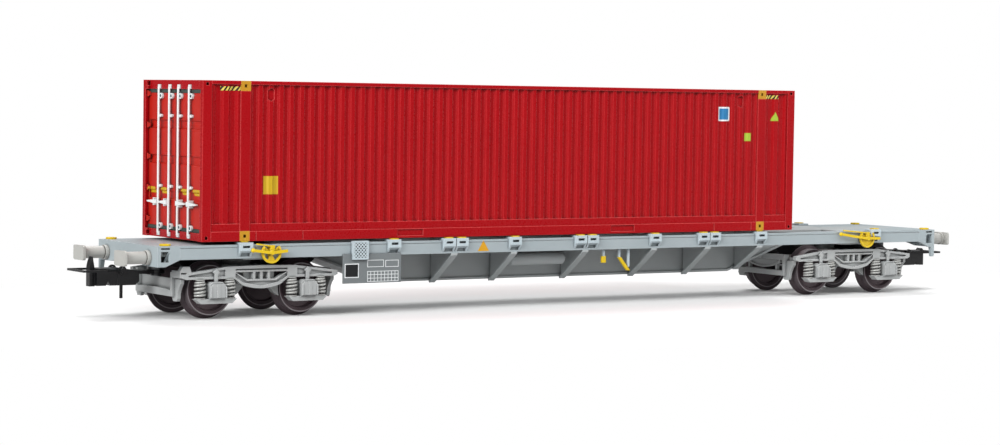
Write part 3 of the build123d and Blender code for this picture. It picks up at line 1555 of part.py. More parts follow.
def door_leaf():
    """The near door leaf: three cross grooves, shallow beds for the gaskets, and hinges on its edge."""
    half = container_face_y - door_post
    face = container_left_x + door_recess
    low = container_bottom_z + door_sill_height
    high = container_top_z - header_height
    leaf = block((face, face + door_thickness), (-half, -door_gap / 2), (low, high))
    y_low = -half + door_groove_margin
    y_high = -door_gap / 2 - door_groove_margin
    pitch = (high - low) / (door_groove_count + 1)
    for number in range(door_groove_count):
        below = low + (number + 1) * pitch - door_groove_half
        above = below + 2 * door_groove_half
        leaf -= slab([
            (face - cut_overrun, below), (face, below), (face + door_groove_depth, below + door_groove_slope),
            (face + door_groove_depth, above - door_groove_slope), (face, above), (face - cut_overrun, above),
        ], y_low, y_high - y_low, "y")
    for z in (low, high - gasket_height):
        leaf -= block((face - cut_overrun, face + gasket_depth), (-half, -door_gap / 2),
                      (z, z + gasket_height))
    hinges = []
    first = low + hinge_low_inset
    step = (high - hinge_high_inset - first) / (hinge_count - 1)
    for number in range(hinge_count):
        z = first + number * step
        barrel = (face - hinge_reach, -half + hinge_radius)
        hinges.append(rod(hinge_radius, (*barrel, z - hinge_height / 2), (*barrel, z + hinge_height / 2)))
        hinges.append(block((face - hinge_reach, face), (-half + hinge_radius, -half + hinge_strap),
                            (z - hinge_height / 3, z + hinge_height / 3)))
    return joined([leaf] + hinges)


def bar_bracket(y, z, with_ring):
    """What holds one locking bar to a door: a foot, and beside it a ring or a stud."""
    door_face = container_left_x + door_recess
    bar_x = container_left_x + door_frame_recess - locking_bar_gap - locking_bar_radius
    pieces = [block((door_face, bar_x), (y - bar_bracket_half, y + bar_bracket_half),
                    (z - bar_bracket_half, z + bar_bracket_half))]
    if with_ring:
        centre = y - bar_ring_offset
        ring = rod(bar_ring_radius, (door_face, centre, z), (bar_x, centre, z))
        ring -= rod(bar_ring_hole, (door_face + cut_overrun, centre, z), (bar_x - cut_overrun, centre, z))
        return pieces + [ring]
    centre = y - bar_stud_offset
    stud = rod(bar_stud_radius, (door_face, centre, z), (bar_x, centre, z))
    foot = block((door_face, bar_x), (centre, y), (z - bar_stud_radius / 2, z + bar_stud_radius / 2))
    return pieces + [stud, foot]


def bar_handle(y, z):
    """The tapered handle of one locking bar, and the hub that holds it to the door."""
    door_face = container_left_x + door_recess
    bar_x = container_left_x + door_frame_recess - locking_bar_gap - locking_bar_radius
    front = bar_x - locking_bar_radius - handle_thickness
    way = 1 if y > 0 else -1
    tip = y + way * handle_length
    arm = slab([
        (y, z - handle_root_half), (y, z + handle_root_half),
        (tip, z + handle_tip_half), (tip, z - handle_tip_half),
    ], front, bar_x - front, "x")
    hub_y = y + way * handle_hub_offset
    hub = block((front, door_face), (hub_y - handle_hub_width / 2, hub_y + handle_hub_width / 2),
                (z - handle_hub_half, z + handle_hub_half))
    return [arm, hub]


def locking_bars():
    """The four upright bars on the door end, with their keepers, brackets and handles."""
    solids = []
    frame_face = container_left_x + door_frame_recess
    bar_x = frame_face - locking_bar_gap - locking_bar_radius
    low = container_bottom_z + locking_bar_foot_inset
    high = container_top_z - locking_bar_top_inset
    for y in locking_bar_y:
        pieces = [rod(locking_bar_radius, (bar_x, y, low), (bar_x, y, high))]
        for z in (low, high):
            pieces.append(block((frame_face, bar_x), (y - keeper_half_width, y + keeper_half_width),
                                (z - keeper_height / 2, z + keeper_height / 2)))
        for height_share, with_ring in bar_brackets_share:
            pieces += bar_bracket(y, low + (high - low) * height_share, with_ring)
        pieces += bar_handle(y, low + (high - low) * handle_height_share)
        solids.append(joined(pieces))
    return solids


def save_container():
    """Write the pieces of the container."""
    side = container_side()
    post = corner_post_solid()
    near_posts = [post, door_post_solid()]
    near_castings = castings()
    leaf = door_leaf()
    save("container_side_near", side)
    save("container_side_far", mirror_y(side))
    save("container_roof", container_roof())
    save("container_floor", container_floor())
    save("container_front", container_front())
    save("container_corner_posts", group(near_posts + [mirror_y(piece) for piece in near_posts]))
    save("lifting_castings", group(near_castings + [mirror_y(box) for box in near_castings]))
    save("door_frame", group(door_frame()))
    save("door_leaf_near", leaf)
    save("door_leaf_far", mirror_y(leaf))
    save("locking_bars", group(locking_bars()))


save_frame()
save_bogies()
save_wheelsets()
save_couplers()
save_container()
print(len(nodes_written), "nodes written")
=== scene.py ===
import json
import math

import bmesh
import bpy
from mathutils import Matrix, Vector


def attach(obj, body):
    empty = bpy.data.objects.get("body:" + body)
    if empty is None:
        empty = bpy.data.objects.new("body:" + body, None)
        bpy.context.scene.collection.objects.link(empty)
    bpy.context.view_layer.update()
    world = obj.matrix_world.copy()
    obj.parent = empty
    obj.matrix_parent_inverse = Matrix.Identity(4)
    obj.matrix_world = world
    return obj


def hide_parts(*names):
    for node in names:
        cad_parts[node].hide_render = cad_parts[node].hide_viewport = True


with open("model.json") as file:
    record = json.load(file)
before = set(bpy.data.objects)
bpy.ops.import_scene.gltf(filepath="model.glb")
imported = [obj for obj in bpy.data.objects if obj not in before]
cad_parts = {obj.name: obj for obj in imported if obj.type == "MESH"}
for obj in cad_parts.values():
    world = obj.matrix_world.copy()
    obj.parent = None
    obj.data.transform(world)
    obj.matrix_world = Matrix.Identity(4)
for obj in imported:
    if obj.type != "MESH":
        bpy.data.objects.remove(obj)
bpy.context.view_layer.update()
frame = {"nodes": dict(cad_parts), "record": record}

nodes = frame["nodes"]
mm = 0.001
print("frame loaded:", len(nodes), "nodes")


# the camera of the photograph: angles in degrees, lengths in millimetres
shot = {
    "azimuth": -33.58,
    "elevation": 2.83,
    "roll": 0.874,
    "distance": 590.1,
    "aimRight": -11.62,
    "aimUp": 18.13,
    "lens": 91.74,
    "clipNear": 10.0,
    "clipFar": 20000.0,
}


def setCamera():
    azimuth, elevation, roll = (math.radians(shot[key]) for key in ("azimuth", "elevation", "roll"))
    back = Vector((math.sin(azimuth) * math.cos(elevation), -math.cos(azimuth) * math.cos(elevation),
                   math.sin(elevation)))
    right = Vector((math.cos(azimuth), math.sin(azimuth), 0))
    up = back.cross(right)
    place = (right * shot["aimRight"] + up * shot["aimUp"] + back * shot["distance"]) * mm
    axes = Matrix((right, up, back)).transposed() @ Matrix.Rotation(roll, 3, "Z")
    data = bpy.data.cameras.new("camera")
    data.lens = shot["lens"]
    data.clip_start = shot["clipNear"] * mm
    data.clip_end = shot["clipFar"] * mm
    camera = bpy.data.objects.new("camera", data)
    camera.matrix_world = Matrix.Translation(place) @ axes.to_4x4()
    bpy.context.scene.collection.objects.link(camera)
    bpy.context.scene.camera = camera


setCamera()
print("camera set")


# finishes

def hexToLinear(text):
    channels = [int(text[i:i + 2], 16) / 255 for i in (1, 3, 5)]
    return [c / 12.92 if c <= 0.04045 else ((c + 0.055) / 1.055) ** 2.4 for c in channels] + [1]


def addNode(tree, kind, settings=None, links=None):
    node = tree.nodes.new(kind)
    for name, value in (settings or {}).items():
        if isinstance(name, int) or name in node.inputs:
            node.inputs[name].default_value = value
        else:
            setattr(node, name, value)
    for name, source in (links or {}).items():
        tree.links.new(source, node.inputs[name])
    return node


def blankMaterial(name):
    material = bpy.data.materials.new(name)
    material.use_nodes = True
    material.node_tree.nodes.clear()
    return material, material.node_tree


def finishSurface(tree, place, colour, look):
    # the film on the plastic: grain breaks up the gloss, and a small radius on every edge takes a thin light
    film = addNode(tree, "ShaderNodeTexNoise", {"Scale": 1 / (look["grain"] * mm), "Detail": 2},
                   {"Vector": place})
    gloss, spread = look["gloss"], look["glossSpread"]
    sheen = addNode(tree, "ShaderNodeMapRange", {"To Min": gloss - spread, "To Max": gloss + spread},
                    {"Value": film.outputs["Fac"]})
    rounded = addNode(tree, "ShaderNodeBevel",
                      {"samples": look["samples"], "Radius": look["edgeRadius"] * mm})
    bump = addNode(tree, "ShaderNodeBump", {"Strength": 0.2, "Distance": look["relief"] * mm},
                   {"Height": film.outputs["Fac"], "Normal": rounded.outputs["Normal"]})
    shader = addNode(tree, "ShaderNodeBsdfPrincipled",
                     {"IOR": look["ior"], "Metallic": look["metal"], "Specular IOR Level": look["specular"]},
                     {"Base Color": colour, "Roughness": sheen.outputs["Result"],
                      "Normal": bump.outputs["Normal"]})
    addNode(tree, "ShaderNodeOutputMaterial", {}, {"Surface": shader.outputs["BSDF"]})


# grain, edge radius and relief in millimetres; samples are those of the edge and corner finders
plainLook = {
    "grain": 0.35,
    "gloss": 0.42,
    "glossSpread": 0.06,
    "edgeRadius": 0.1,
    "relief": 0.02,
    "ior": 1.5,
    "metal": 0,
    "specular": 0.4,
    "samples": 6,
}


# moulded and sprayed plastic: a cloudy tint, painted shade that darkens the corners and recesses, and a
# painted highlight that lightens every edge
def sprayedPlastic(name, base, shade, cornerShade, edge, highlightShare=0.5, shadeReach=0.7, patch=9.0, **look):
    material, tree = blankMaterial(name)
    look = {**plainLook, **look}
    place = addNode(tree, "ShaderNodeTexCoord").outputs["Object"]
    # broad cloudy change of tint, patch millimetres across
    cloud = addNode(tree, "ShaderNodeTexNoise", {"Scale": 1 / (patch * mm), "Detail": 3, "Roughness": 0.55},
                    {"Vector": place})
    tint = addNode(tree, "ShaderNodeMix",
                   {"data_type": "RGBA", "A": hexToLinear(base), "B": hexToLinear(shade)},
                   {"Factor": cloud.outputs["Fac"]})
    # painted shade: within the given reach of a corner, in millimetres, the colour darkens towards the corner
    # shade colour
    corner = addNode(tree, "ShaderNodeAmbientOcclusion",
                     {"samples": look["samples"], "Distance": shadeReach * mm})
    unshadedShare = addNode(tree, "ShaderNodeMapRange", {"From Min": 0.3, "From Max": 0.85},
                   {"Value": corner.outputs["AO"]})
    shaded = addNode(tree, "ShaderNodeMix", {"data_type": "RGBA", "A": hexToLinear(cornerShade)},
                     {"Factor": unshadedShare.outputs["Result"], "B": tint.outputs["Result"]})
    # painted highlight: every edge is lightened towards the edge colour, where the rounded normal leaves the
    # flat one
    rounded = addNode(tree, "ShaderNodeBevel",
                      {"samples": look["samples"], "Radius": look["edgeRadius"] * mm})
    flat = addNode(tree, "ShaderNodeNewGeometry")
    along = addNode(tree, "ShaderNodeVectorMath", {"operation": "DOT_PRODUCT"},
                    {0: rounded.outputs["Normal"], 1: flat.outputs["True Normal"]})
    highlightMask = addNode(tree, "ShaderNodeMapRange",
                  {"From Min": 0.965, "From Max": 0.88, "To Min": 0, "To Max": highlightShare},
                  {"Value": along.outputs["Value"]})
    highlighted = addNode(tree, "ShaderNodeMix", {"data_type": "RGBA", "B": hexToLinear(edge)},
                     {"Factor": highlightMask.outputs["Result"], "A": shaded.outputs["Result"]})
    finishSurface(tree, place, highlighted.outputs["Result"], look)
    return material


# turned and blackened steel wheel: brown disc, bright line where the tread meets the face, dark flange
def blackenedWheel(name):
    material, tree = blankMaterial(name)
    place = addNode(tree, "ShaderNodeTexCoord").outputs["Object"]
    parts = addNode(tree, "ShaderNodeSeparateXYZ", {}, {0: place})
    # every axle stands the same way from its pivot, so folding x twice lays the four wheelsets on one
    side = addNode(tree, "ShaderNodeMath", {"operation": "ABSOLUTE"}, {0: parts.outputs["X"]})
    turn = addNode(tree, "ShaderNodeMath", {"operation": "SUBTRACT", 1: wheelset["pivotX"] * mm},
                   {0: side.outputs["Value"]})
    fold = addNode(tree, "ShaderNodeMath", {"operation": "ABSOLUTE"}, {0: turn.outputs["Value"]})
    across = addNode(tree, "ShaderNodeMath", {"operation": "SUBTRACT", 1: wheelset["halfBase"] * mm},
                     {0: fold.outputs["Value"]})
    height = addNode(tree, "ShaderNodeMath", {"operation": "SUBTRACT", 1: wheelset["axleZ"] * mm},
                     {0: parts.outputs["Z"]})
    spoke = addNode(tree, "ShaderNodeCombineXYZ", {},
                    {"X": across.outputs["Value"], "Z": height.outputs["Value"]})
    radius = addNode(tree, "ShaderNodeVectorMath", {"operation": "LENGTH"}, {0: spoke.outputs["Vector"]})
    share = addNode(tree, "ShaderNodeMath", {"operation": "DIVIDE", 1: wheelset["flangeRadius"] * mm},
                    {0: radius.outputs["Value"]})
    bands = addNode(tree, "ShaderNodeValToRGB", {}, {"Fac": share.outputs["Value"]})
    ramp = bands.color_ramp
    ramp.interpolation = "LINEAR"
    ramp.elements[0].position, ramp.elements[0].color = 0, hexToLinear(wheelset["bands"][0][1])
    ramp.elements[1].position, ramp.elements[1].color = 1, hexToLinear(wheelset["bands"][-1][1])
    for reach, tone in wheelset["bands"][1:-1]:
        ramp.elements.new(reach / wheelset["flangeRadius"]).color = hexToLinear(tone)
    # faint rings that the lathe tool left, drawn wider apart than the real ones so that they show
    rings = addNode(tree, "ShaderNodeMath",
                    {"operation": "MULTIPLY", 1: 2 * math.pi / (wheelset["toolStep"] * mm)},
                    {0: radius.outputs["Value"]})
    groove = addNode(tree, "ShaderNodeMath", {"operation": "SINE"}, {0: rings.outputs["Value"]})
    bump = addNode(tree, "ShaderNodeBump", {"Strength": 0.15, "Distance": wheelset["toolDepth"] * mm},
                   {"Height": groove.outputs["Value"]})
    shader = addNode(tree, "ShaderNodeBsdfPrincipled", {"Metallic": 0.2, "Roughness": 0.42},
                     {"Base Color": bands.outputs["Color"], "Normal": bump.outputs["Normal"]})
    addNode(tree, "ShaderNodeOutputMaterial", {}, {"Surface": shader.outputs["BSDF"]})
    return material


wheelset = {
    "pivotX": 82.0,
    "halfBase": 10.8,
    "axleZ": 6.1,
    "flangeRadius": 6.1,
    "toolStep": 0.3,
    "toolDepth": 0.02,
    # radius in millimetres and its tone
    "bands": ((0, "#584A4F"), (4.2, "#615358"), (4.35, "#43353A"), (4.98, "#493B40"), (5.06, "#9A9396"),
              (5.18, "#A39DA0"), (5.26, "#514449"), (6.1, "#42363B")),
}

# in every sprayed finish below, the third colour is a painted shade for corners and recesses and the fourth a
# painted highlight for edges
materials = {
    # satin spray on ABS: pale bluish grey, with a nearly white painted highlight on the edges
    "frame_grey": sprayedPlastic("sprayedAbsPaleGrey", "#A9B4B8", "#9CA7AB", "#596065", "#DCE3E5", gloss=0.4),
    "spine_grey": sprayedPlastic("sprayedAbsMidGrey", "#B2B8B9", "#A5ABAC", "#525657", "#D6DCDE", gloss=0.45),
    "bracket_grey": sprayedPlastic("sprayedAbsLightGrey", "#C2D0D6", "#B3C1C7", "#475054", "#F0F6F8",
                                   gloss=0.38),
    # polyacetal as it leaves the mould: waxy light grey, with a strong painted highlight on the sharp rims
    "bogie_grey": sprayedPlastic("mouldedPolyacetalGrey", "#B4B7B7", "#A8ABAB", "#414446", "#F2F4F4",
                                 highlightShare=0.8, gloss=0.36),
    "buffer_grey": sprayedPlastic("mouldedPolyacetalWarmGrey", "#B9B9B5", "#A9A8A3", "#6C6963", "#DDDDDA",
                                  gloss=0.45),
    # steel, blackened on the wheels and bare on the axles: dark with a metal's shine
    "wheel_brown": blackenedWheel("blackenedSteelWheel"),
    "axle_steel": sprayedPlastic("turnedSteelDark", "#5A5A5C", "#4C4C4E", "#2A2A2C", "#8E8E90", metal=0.8,
                                 gloss=0.3),
    # glass-filled nylon: near black with a soft sheen
    "coupler_black": sprayedPlastic("mouldedNylonBlack", "#131315", "#0E0E10", "#060607", "#3A3A3E",
                                    gloss=0.3),
    # satin colours on ABS: an even coat, with painted shade in the corners of the ribs and a painted
    # highlight along their edges
    "signal_yellow": sprayedPlastic("sprayedAbsYellow", "#E8C714", "#DAB60E", "#8E6E08", "#F8E568",
                                    gloss=0.35),
    "container_red": sprayedPlastic("satinMouldedAbsRed", "#A80912", "#9D0610", "#560103", "#F0605F",
                                    highlightShare=0.9, shadeReach=0.9, gloss=0.28, edgeRadius=0.16, specular=0.15),
    "door_red": sprayedPlastic("satinMouldedAbsOrangeRed", "#BE2318", "#B01D13", "#5C0908", "#E0675A",
                               gloss=0.35, shadeReach=1.1, specular=0.2),
    "container_floor_brown": sprayedPlastic("mouldedAbsDarkRed", "#5A1718", "#4C1213", "#2A0A0B", "#7A2C2C"),
    "bar_white": sprayedPlastic("sprayedAbsWhite", "#E9ECEC", "#DDE1E1", "#7F8E90", "#F6F8F8", shadeReach=0.4,
                                gloss=0.35),
}
# the lifting castings are a deeper, orange yellow than the hand gear, and the data panel a darker grey; both
# have painted shade in corners and a painted highlight on edges
castingAmber = sprayedPlastic("sprayedAbsAmber", "#CB951C", "#BA8414", "#4E3008", "#EFC75A",
                              shadeReach=0.5, gloss=0.38)
panelGrey = sprayedPlastic("sprayedAbsPanelGrey", "#7B8183", "#72787A", "#383C3E", "#B0B6B8", gloss=0.45)
ownFinish = {"lifting_castings": castingAmber, "data_panel": panelGrey}
slots = {row["node"]: row["material_slot"] for row in frame["record"]["subparts"]}
for name, node in nodes.items():
    node.data.materials.clear()
    node.data.materials.append(ownFinish.get(name, materials[slots[name]]))
print("finishes given to the frame:", len(materials))


# making of pieces: bmesh forms in millimetres, scaled to metres as they are laid down

axisPlaces = {
    "x": lambda u, v, w: Vector((w, u, v)),
    "y": lambda u, v, w: Vector((u, w, v)),
    "z": lambda u, v, w: Vector((u, v, w)),
}


def addPrism(shape, outline, start, end, along):
    place = axisPlaces[along]
    first, last = ([shape.verts.new(place(u, v, w) * mm) for u, v in outline] for w in (start, end))
    shape.faces.new(first)
    shape.faces.new(list(reversed(last)))
    for i in range(len(outline)):
        j = (i + 1) % len(outline)
        shape.faces.new((first[i], last[i], last[j], first[j]))


steepShare = 0.9  # a wire that climbs by more than this takes its sideways from x, not from z


def addWire(shape, points, radius, sides):
    rings = []
    for i, point in enumerate(points):
        way = (points[min(i + 1, len(points) - 1)] - points[max(i - 1, 0)]).normalized()
        out = way.cross(Vector((0, 0, 1)) if abs(way.z) < steepShare else Vector((1, 0, 0))).normalized()
        rise = way.cross(out)
        turns = [2 * math.pi * k / sides for k in range(sides)]
        rings.append([shape.verts.new((point + radius * (math.cos(a) * out + math.sin(a) * rise)) * mm)
                      for a in turns])
    for low, high in zip(rings, rings[1:]):
        for k in range(sides):
            face = shape.faces.new((low[k], low[(k + 1) % sides], high[(k + 1) % sides], high[k]))
            face.smooth = True
    shape.faces.new(list(reversed(rings[0])))
    shape.faces.new(rings[-1])


def roundEdges(shape, radius):
    bmesh.ops.bevel(shape, geom=shape.edges[:], offset=radius * mm, segments=2, profile=0.5, affect="EDGES",
                    clamp_overlap=True)


def layPiece(name, shape, finish, body):
    bmesh.ops.recalc_face_normals(shape, faces=shape.faces[:])
    mesh = bpy.data.meshes.new(name)
    shape.to_mesh(mesh)
    shape.free()
    mesh.materials.append(finish)
    piece = bpy.data.objects.new(name, mesh)
    bpy.context.scene.collection.objects.link(piece)
    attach(piece, body)
    return piece


# bogie springs: open coils of round wire, the top turn drawn in, between a tray seat and a cap

springs = {
    "offset": 3.45,
    "y": 12.25,
    "low": 4.5,
    "high": 8.55,
    "coilRadius": 1.0,
    "topRadius": 0.8,
    "wireRadius": 0.27,
    "wireSides": 8,
    "turns": 5.0,
    "drawnTurns": 1.2,
    "endFlatness": 0.05,
    "stepsPerTurn": 16,
    "seatHeight": 0.2,
    "seatRadius": 1.2,
    "capRadius": 1.0,
    "sides": 20,
}


def ringOutline(centre, radius, sides):
    angles = [2 * math.pi * k / sides for k in range(sides)]
    return [(centre[0] + radius * math.cos(a), centre[1] + radius * math.sin(a)) for a in angles]


def addSpring(shape, x, y):
    s = springs
    low = s["low"] + s["seatHeight"] + s["wireRadius"]
    high = s["high"] - s["seatHeight"] - s["wireRadius"]
    steps = round(s["turns"] * s["stepsPerTurn"])
    points = []
    for k in range(steps + 1):
        share = k / steps
        # the end turns climb less than the middle ones
        climb = share - s["endFlatness"] * math.sin(2 * math.pi * share)
        pull = max(0, share * s["turns"] - (s["turns"] - s["drawnTurns"])) / s["drawnTurns"]
        radius = s["coilRadius"] + (s["topRadius"] - s["coilRadius"]) * pull
        angle = 2 * math.pi * k / s["stepsPerTurn"]
        points.append(Vector((x + radius * math.cos(angle), y + radius * math.sin(angle),
                              low + (high - low) * climb)))
    addWire(shape, points, s["wireRadius"], s["wireSides"])
    seat = ringOutline((x, y), s["seatRadius"], s["sides"])
    addPrism(shape, seat, s["low"], s["low"] + s["seatHeight"], "z")
    cap = ringOutline((x, y), s["capRadius"], s["sides"])
    addPrism(shape, cap, s["high"] - s["seatHeight"], s["high"], "z")


# spring wire after phosphating and a thin coat of the bogie's grey: slightly metallic, with painted shade in
# its corners and a painted highlight on its edges
springWire = sprayedPlastic("coatedSpringWire", "#B4B5B2", "#A6A7A4", "#37383A", "#E6E6E4",
                            shadeReach=0.5, metal=0.2, gloss=0.3, edgeRadius=0.05)


def makeSprings():
    for end, side in (("left", -1), ("right", 1)):
        shape = bmesh.new()
        for axle in (-1, 1):
            for way in (-1, 1):
                x = side * wheelset["pivotX"] + axle * wheelset["halfBase"] + way * springs["offset"]
                for y in (-springs["y"], springs["y"]):
                    addSpring(shape, x, y)
        piece = layPiece("coilSprings_" + end, shape, springWire, "bogie_" + end)
        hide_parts("bogie_springs_" + end)


makeSprings()
print("springs wound")


# axlebox fronts: a chamfered face with a rib down each edge and a column under the hanger

axleboxFront = {
    "faceY": 13.7,
    "thickness": 0.42,
    "halfWidth": 1.9,
    "low": 4.75,
    "high": 7.6,
    "corner": 0.6,
    "ribWidth": 0.3,
    "ribRise": 0.2,
    "columnHalf": 0.4,
    "columnRise": 0.12,
    "edgeRadius": 0.05,
}


def makeAxleboxFronts():
    a = axleboxFront
    half, low, high = a["halfWidth"], a["low"], a["high"]
    shoulder = high - a["corner"]
    for end, side in (("left", -1), ("right", 1)):
        shape = bmesh.new()
        for axle in (-1, 1):
            x = side * wheelset["pivotX"] + axle * wheelset["halfBase"]
            outline = [(x - half, low), (x + half, low), (x + half, shoulder),
                       (x + half - a["corner"], high), (x - half + a["corner"], high), (x - half, shoulder)]
            for way in (-1, 1):
                face = way * (a["faceY"] + a["thickness"])
                addPrism(shape, outline, way * a["faceY"], face, "y")
                for edge in (-1, 1):
                    inner, outer = sorted((x + edge * half, x + edge * (half - a["ribWidth"])))
                    rib = [(inner, low), (outer, low), (outer, shoulder), (inner, shoulder)]
                    addPrism(shape, rib, face, face + way * a["ribRise"], "y")
                column = [(x - a["columnHalf"], low), (x + a["columnHalf"], low),
                          (x + a["columnHalf"], high), (x - a["columnHalf"], high)]
                addPrism(shape, column, face, face + way * a["columnRise"], "y")
        roundEdges(shape, a["edgeRadius"])
        layPiece("axleboxFronts_" + end, shape, materials["bogie_grey"], "bogie_" + end)


makeAxleboxFronts()
print("axlebox fronts set")


# hand brake gear on both sides: a dished half wheel behind a bent lever, with a bracket and a top arm

handGear = {
    # at the near side: x of the wheel, x and z of the lever's ball, x and z of its other end, and whether
    # the dish has its two holes
    "units": ((-81.0, (-85.4, 14.5), (-77.4, 14.3), True), (84.0, (75.5, 15.1), (87.8, 13.9), False)),
    "wheelZ": 14.0,
    "radius": 2.3,
    "rimWidth": 0.45,
    "cutAbove": 1.35,
    "backY": 14.2,
    "dishY": 14.75,
    "rimY": 15.15,
    "leverY": 15.05,
    "frontY": 15.55,
    # how far one piece runs into the next
    "lap": 0.1,
    "dishHalf": 0.15,
    "leverHeight": 0.62,
    "leverFlat": 0.8,
    "ballRadius": 0.48,
    "armHeight": 0.3,
    "armRise": 1.3,
    "armStart": 0.9,
    "armLift": 0.7,
    "bracketHalf": 0.55,
    "bracketLow": 1.1,
    "bracketHigh": 1.3,
    "bracketThickness": 0.3,
    "uprightHigh": 1.5,
    "uprightShares": (1.3, 0.4),
    "uprightInset": 0.2,
    "hubRadius": 0.5,
    "hubSides": 20,
    "hubProud": 0.04,
    "wedgeStartShare": 0.8,
    "holeShares": ((0.16, 0.4), (0.6, 0.84)),
    "steps": 28,
}


def arcPoints(centre, radius, start, end, steps):
    angles = [math.radians(start + (end - start) * k / steps) for k in range(steps + 1)]
    return [(centre[0] + radius * math.cos(a), centre[1] + radius * math.sin(a)) for a in angles]


def addBall(shape, centre, radius):
    ball = bmesh.ops.create_uvsphere(shape, u_segments=16, v_segments=10, radius=radius * mm)
    bmesh.ops.translate(shape, vec=Vector(centre) * mm, verts=ball["verts"])
    for vert in ball["verts"]:
        for face in vert.link_faces:
            face.smooth = True


def addHandGear(shape, x, ball, tip, holed):
    g = handGear
    z = g["wheelZ"]
    lift = math.degrees(math.asin(g["cutAbove"] / g["radius"]))
    start, end = 180 - lift, 360 + lift
    outer = arcPoints((x, z), g["radius"], start, end, g["steps"])
    inner = arcPoints((x, z), g["radius"] - g["rimWidth"], end, start, g["steps"])
    # the rim is a chain of short bars, so that each prism stays convex
    for k in range(g["steps"]):
        piece = [outer[k], outer[k + 1], inner[-2 - k], inner[-1 - k]]
        addPrism(shape, piece, -g["dishY"] + g["lap"], -g["rimY"], "y")
    # the dish: a thin plate in wedges, left open over the two holes
    inside = g["hubRadius"] * g["wedgeStartShare"]
    outside = g["radius"] - g["lap"]
    for k in range(g["steps"]):
        share = (k + 0.5) / g["steps"]
        if holed and any(low < share < high for low, high in g["holeShares"]):
            continue
        angles = [math.radians(start + (end - start) * (k + step) / g["steps"]) for step in (0, 1)]
        wedge = [(x + reach * math.cos(a), z + reach * math.sin(a))
                 for reach, a in ((inside, angles[0]), (outside, angles[0]),
                                  (outside, angles[1]), (inside, angles[1]))]
        addPrism(shape, wedge, -g["dishY"] + g["dishHalf"], -g["dishY"] - g["dishHalf"], "y")
    hub = ringOutline((x, z), g["hubRadius"], g["hubSides"])
    addPrism(shape, hub, -g["backY"], -g["frontY"] - g["hubProud"], "y")
    # the bracket on the sill and its upright, which leans to one side
    b = g["bracketHalf"]
    low, high = z - g["bracketLow"], z + g["bracketHigh"]
    addPrism(shape, [(x - b, low), (x + b, low), (x + b, high), (x - b, high)],
             -g["backY"], -g["backY"] - g["bracketThickness"], "y")
    head = z + g["uprightHigh"]
    rightShare, leftShare = g["uprightShares"]
    addPrism(shape, [(x - b, z), (x + b, z), (x + b * rightShare, head), (x - b * leftShare, head)],
             -g["dishY"] + g["uprightInset"], -g["rimY"], "y")
    # the lever drops to the hub and goes on to its far end
    h = g["leverHeight"] / 2
    lever = (ball, (x - g["leverFlat"], z), (x + g["leverFlat"], z), tip)
    for (x0, z0), (x1, z1) in zip(lever, lever[1:]):
        addPrism(shape, [(x0, z0 - h), (x1, z1 - h), (x1, z1 + h), (x0, z0 + h)],
                 -g["leverY"], -g["frontY"], "y")
    addBall(shape, (ball[0], -g["frontY"] + g["ballRadius"], ball[1]), g["ballRadius"])
    # the top arm, back to the ball's side
    a = g["armHeight"] / 2
    top = z + g["armRise"]
    start = ball[0] + g["armStart"]
    rise = min(g["armLift"], ball[1] - z)
    addPrism(shape, [(start, top + rise - a), (x, top - a), (x, top + a), (start, top + rise + a)],
             -g["dishY"] + g["lap"], -g["rimY"] + g["lap"], "y")


def makeHandGear():
    for side in ("near", "far"):
        shape = bmesh.new()
        for x, ball, tip, holed in handGear["units"]:
            addHandGear(shape, x, ball, tip, holed)
        if side == "far":
            halfTurn = Matrix.Rotation(math.pi, 3, "Z")
            bmesh.ops.rotate(shape, cent=(0, 0, 0), matrix=halfTurn, verts=shape.verts[:])
        piece = layPiece("handGear_" + side, shape, materials["signal_yellow"], "wagon")
        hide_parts("handwheels_" + side)


makeHandGear()
print("hand gear set")


# black covers of the coupler guides, under the spine on both sides of each bolster; slanted ends

guideCovers = {
    "halfWidth": 3.3,
    "edgeRadius": 0.12,
    # x from the pivot, away from the wagon's middle, and z
    "outer": ((16.2, 12.9), (13.4, 10.3), (4.6, 10.3), (4.2, 12.9)),
    "inner": ((-4.2, 12.9), (-4.8, 9.6), (-15.4, 9.6), (-18.6, 12.2), (-19.4, 12.9)),
}


def makeGuideCovers():
    for end, side in (("left", -1), ("right", 1)):
        shape = bmesh.new()
        for key in ("outer", "inner"):
            outline = [(side * (wheelset["pivotX"] + reach), z) for reach, z in guideCovers[key]]
            addPrism(shape, outline, -guideCovers["halfWidth"], guideCovers["halfWidth"], "y")
        roundEdges(shape, guideCovers["edgeRadius"])
        layPiece("guideCovers_" + end, shape, materials["coupler_black"], "wagon")


makeGuideCovers()
print("coupler guides covered")


# printed films: each is cut out of the surface that carries it, so that it follows every rib

film = {
    "thickness": 0.025,
    "gloss": 0.34,
    "grain": 0.2,
    "patch": 2.0,
    "edgeRadius": 0.04,
    # a face turned further from the film's own way than this takes no ink
    "facingShare": 0.3,
    # in metres, for the cut and for joining its points
    "cutDistance": 1e-7,
    "joinDistance": 1e-6,
}


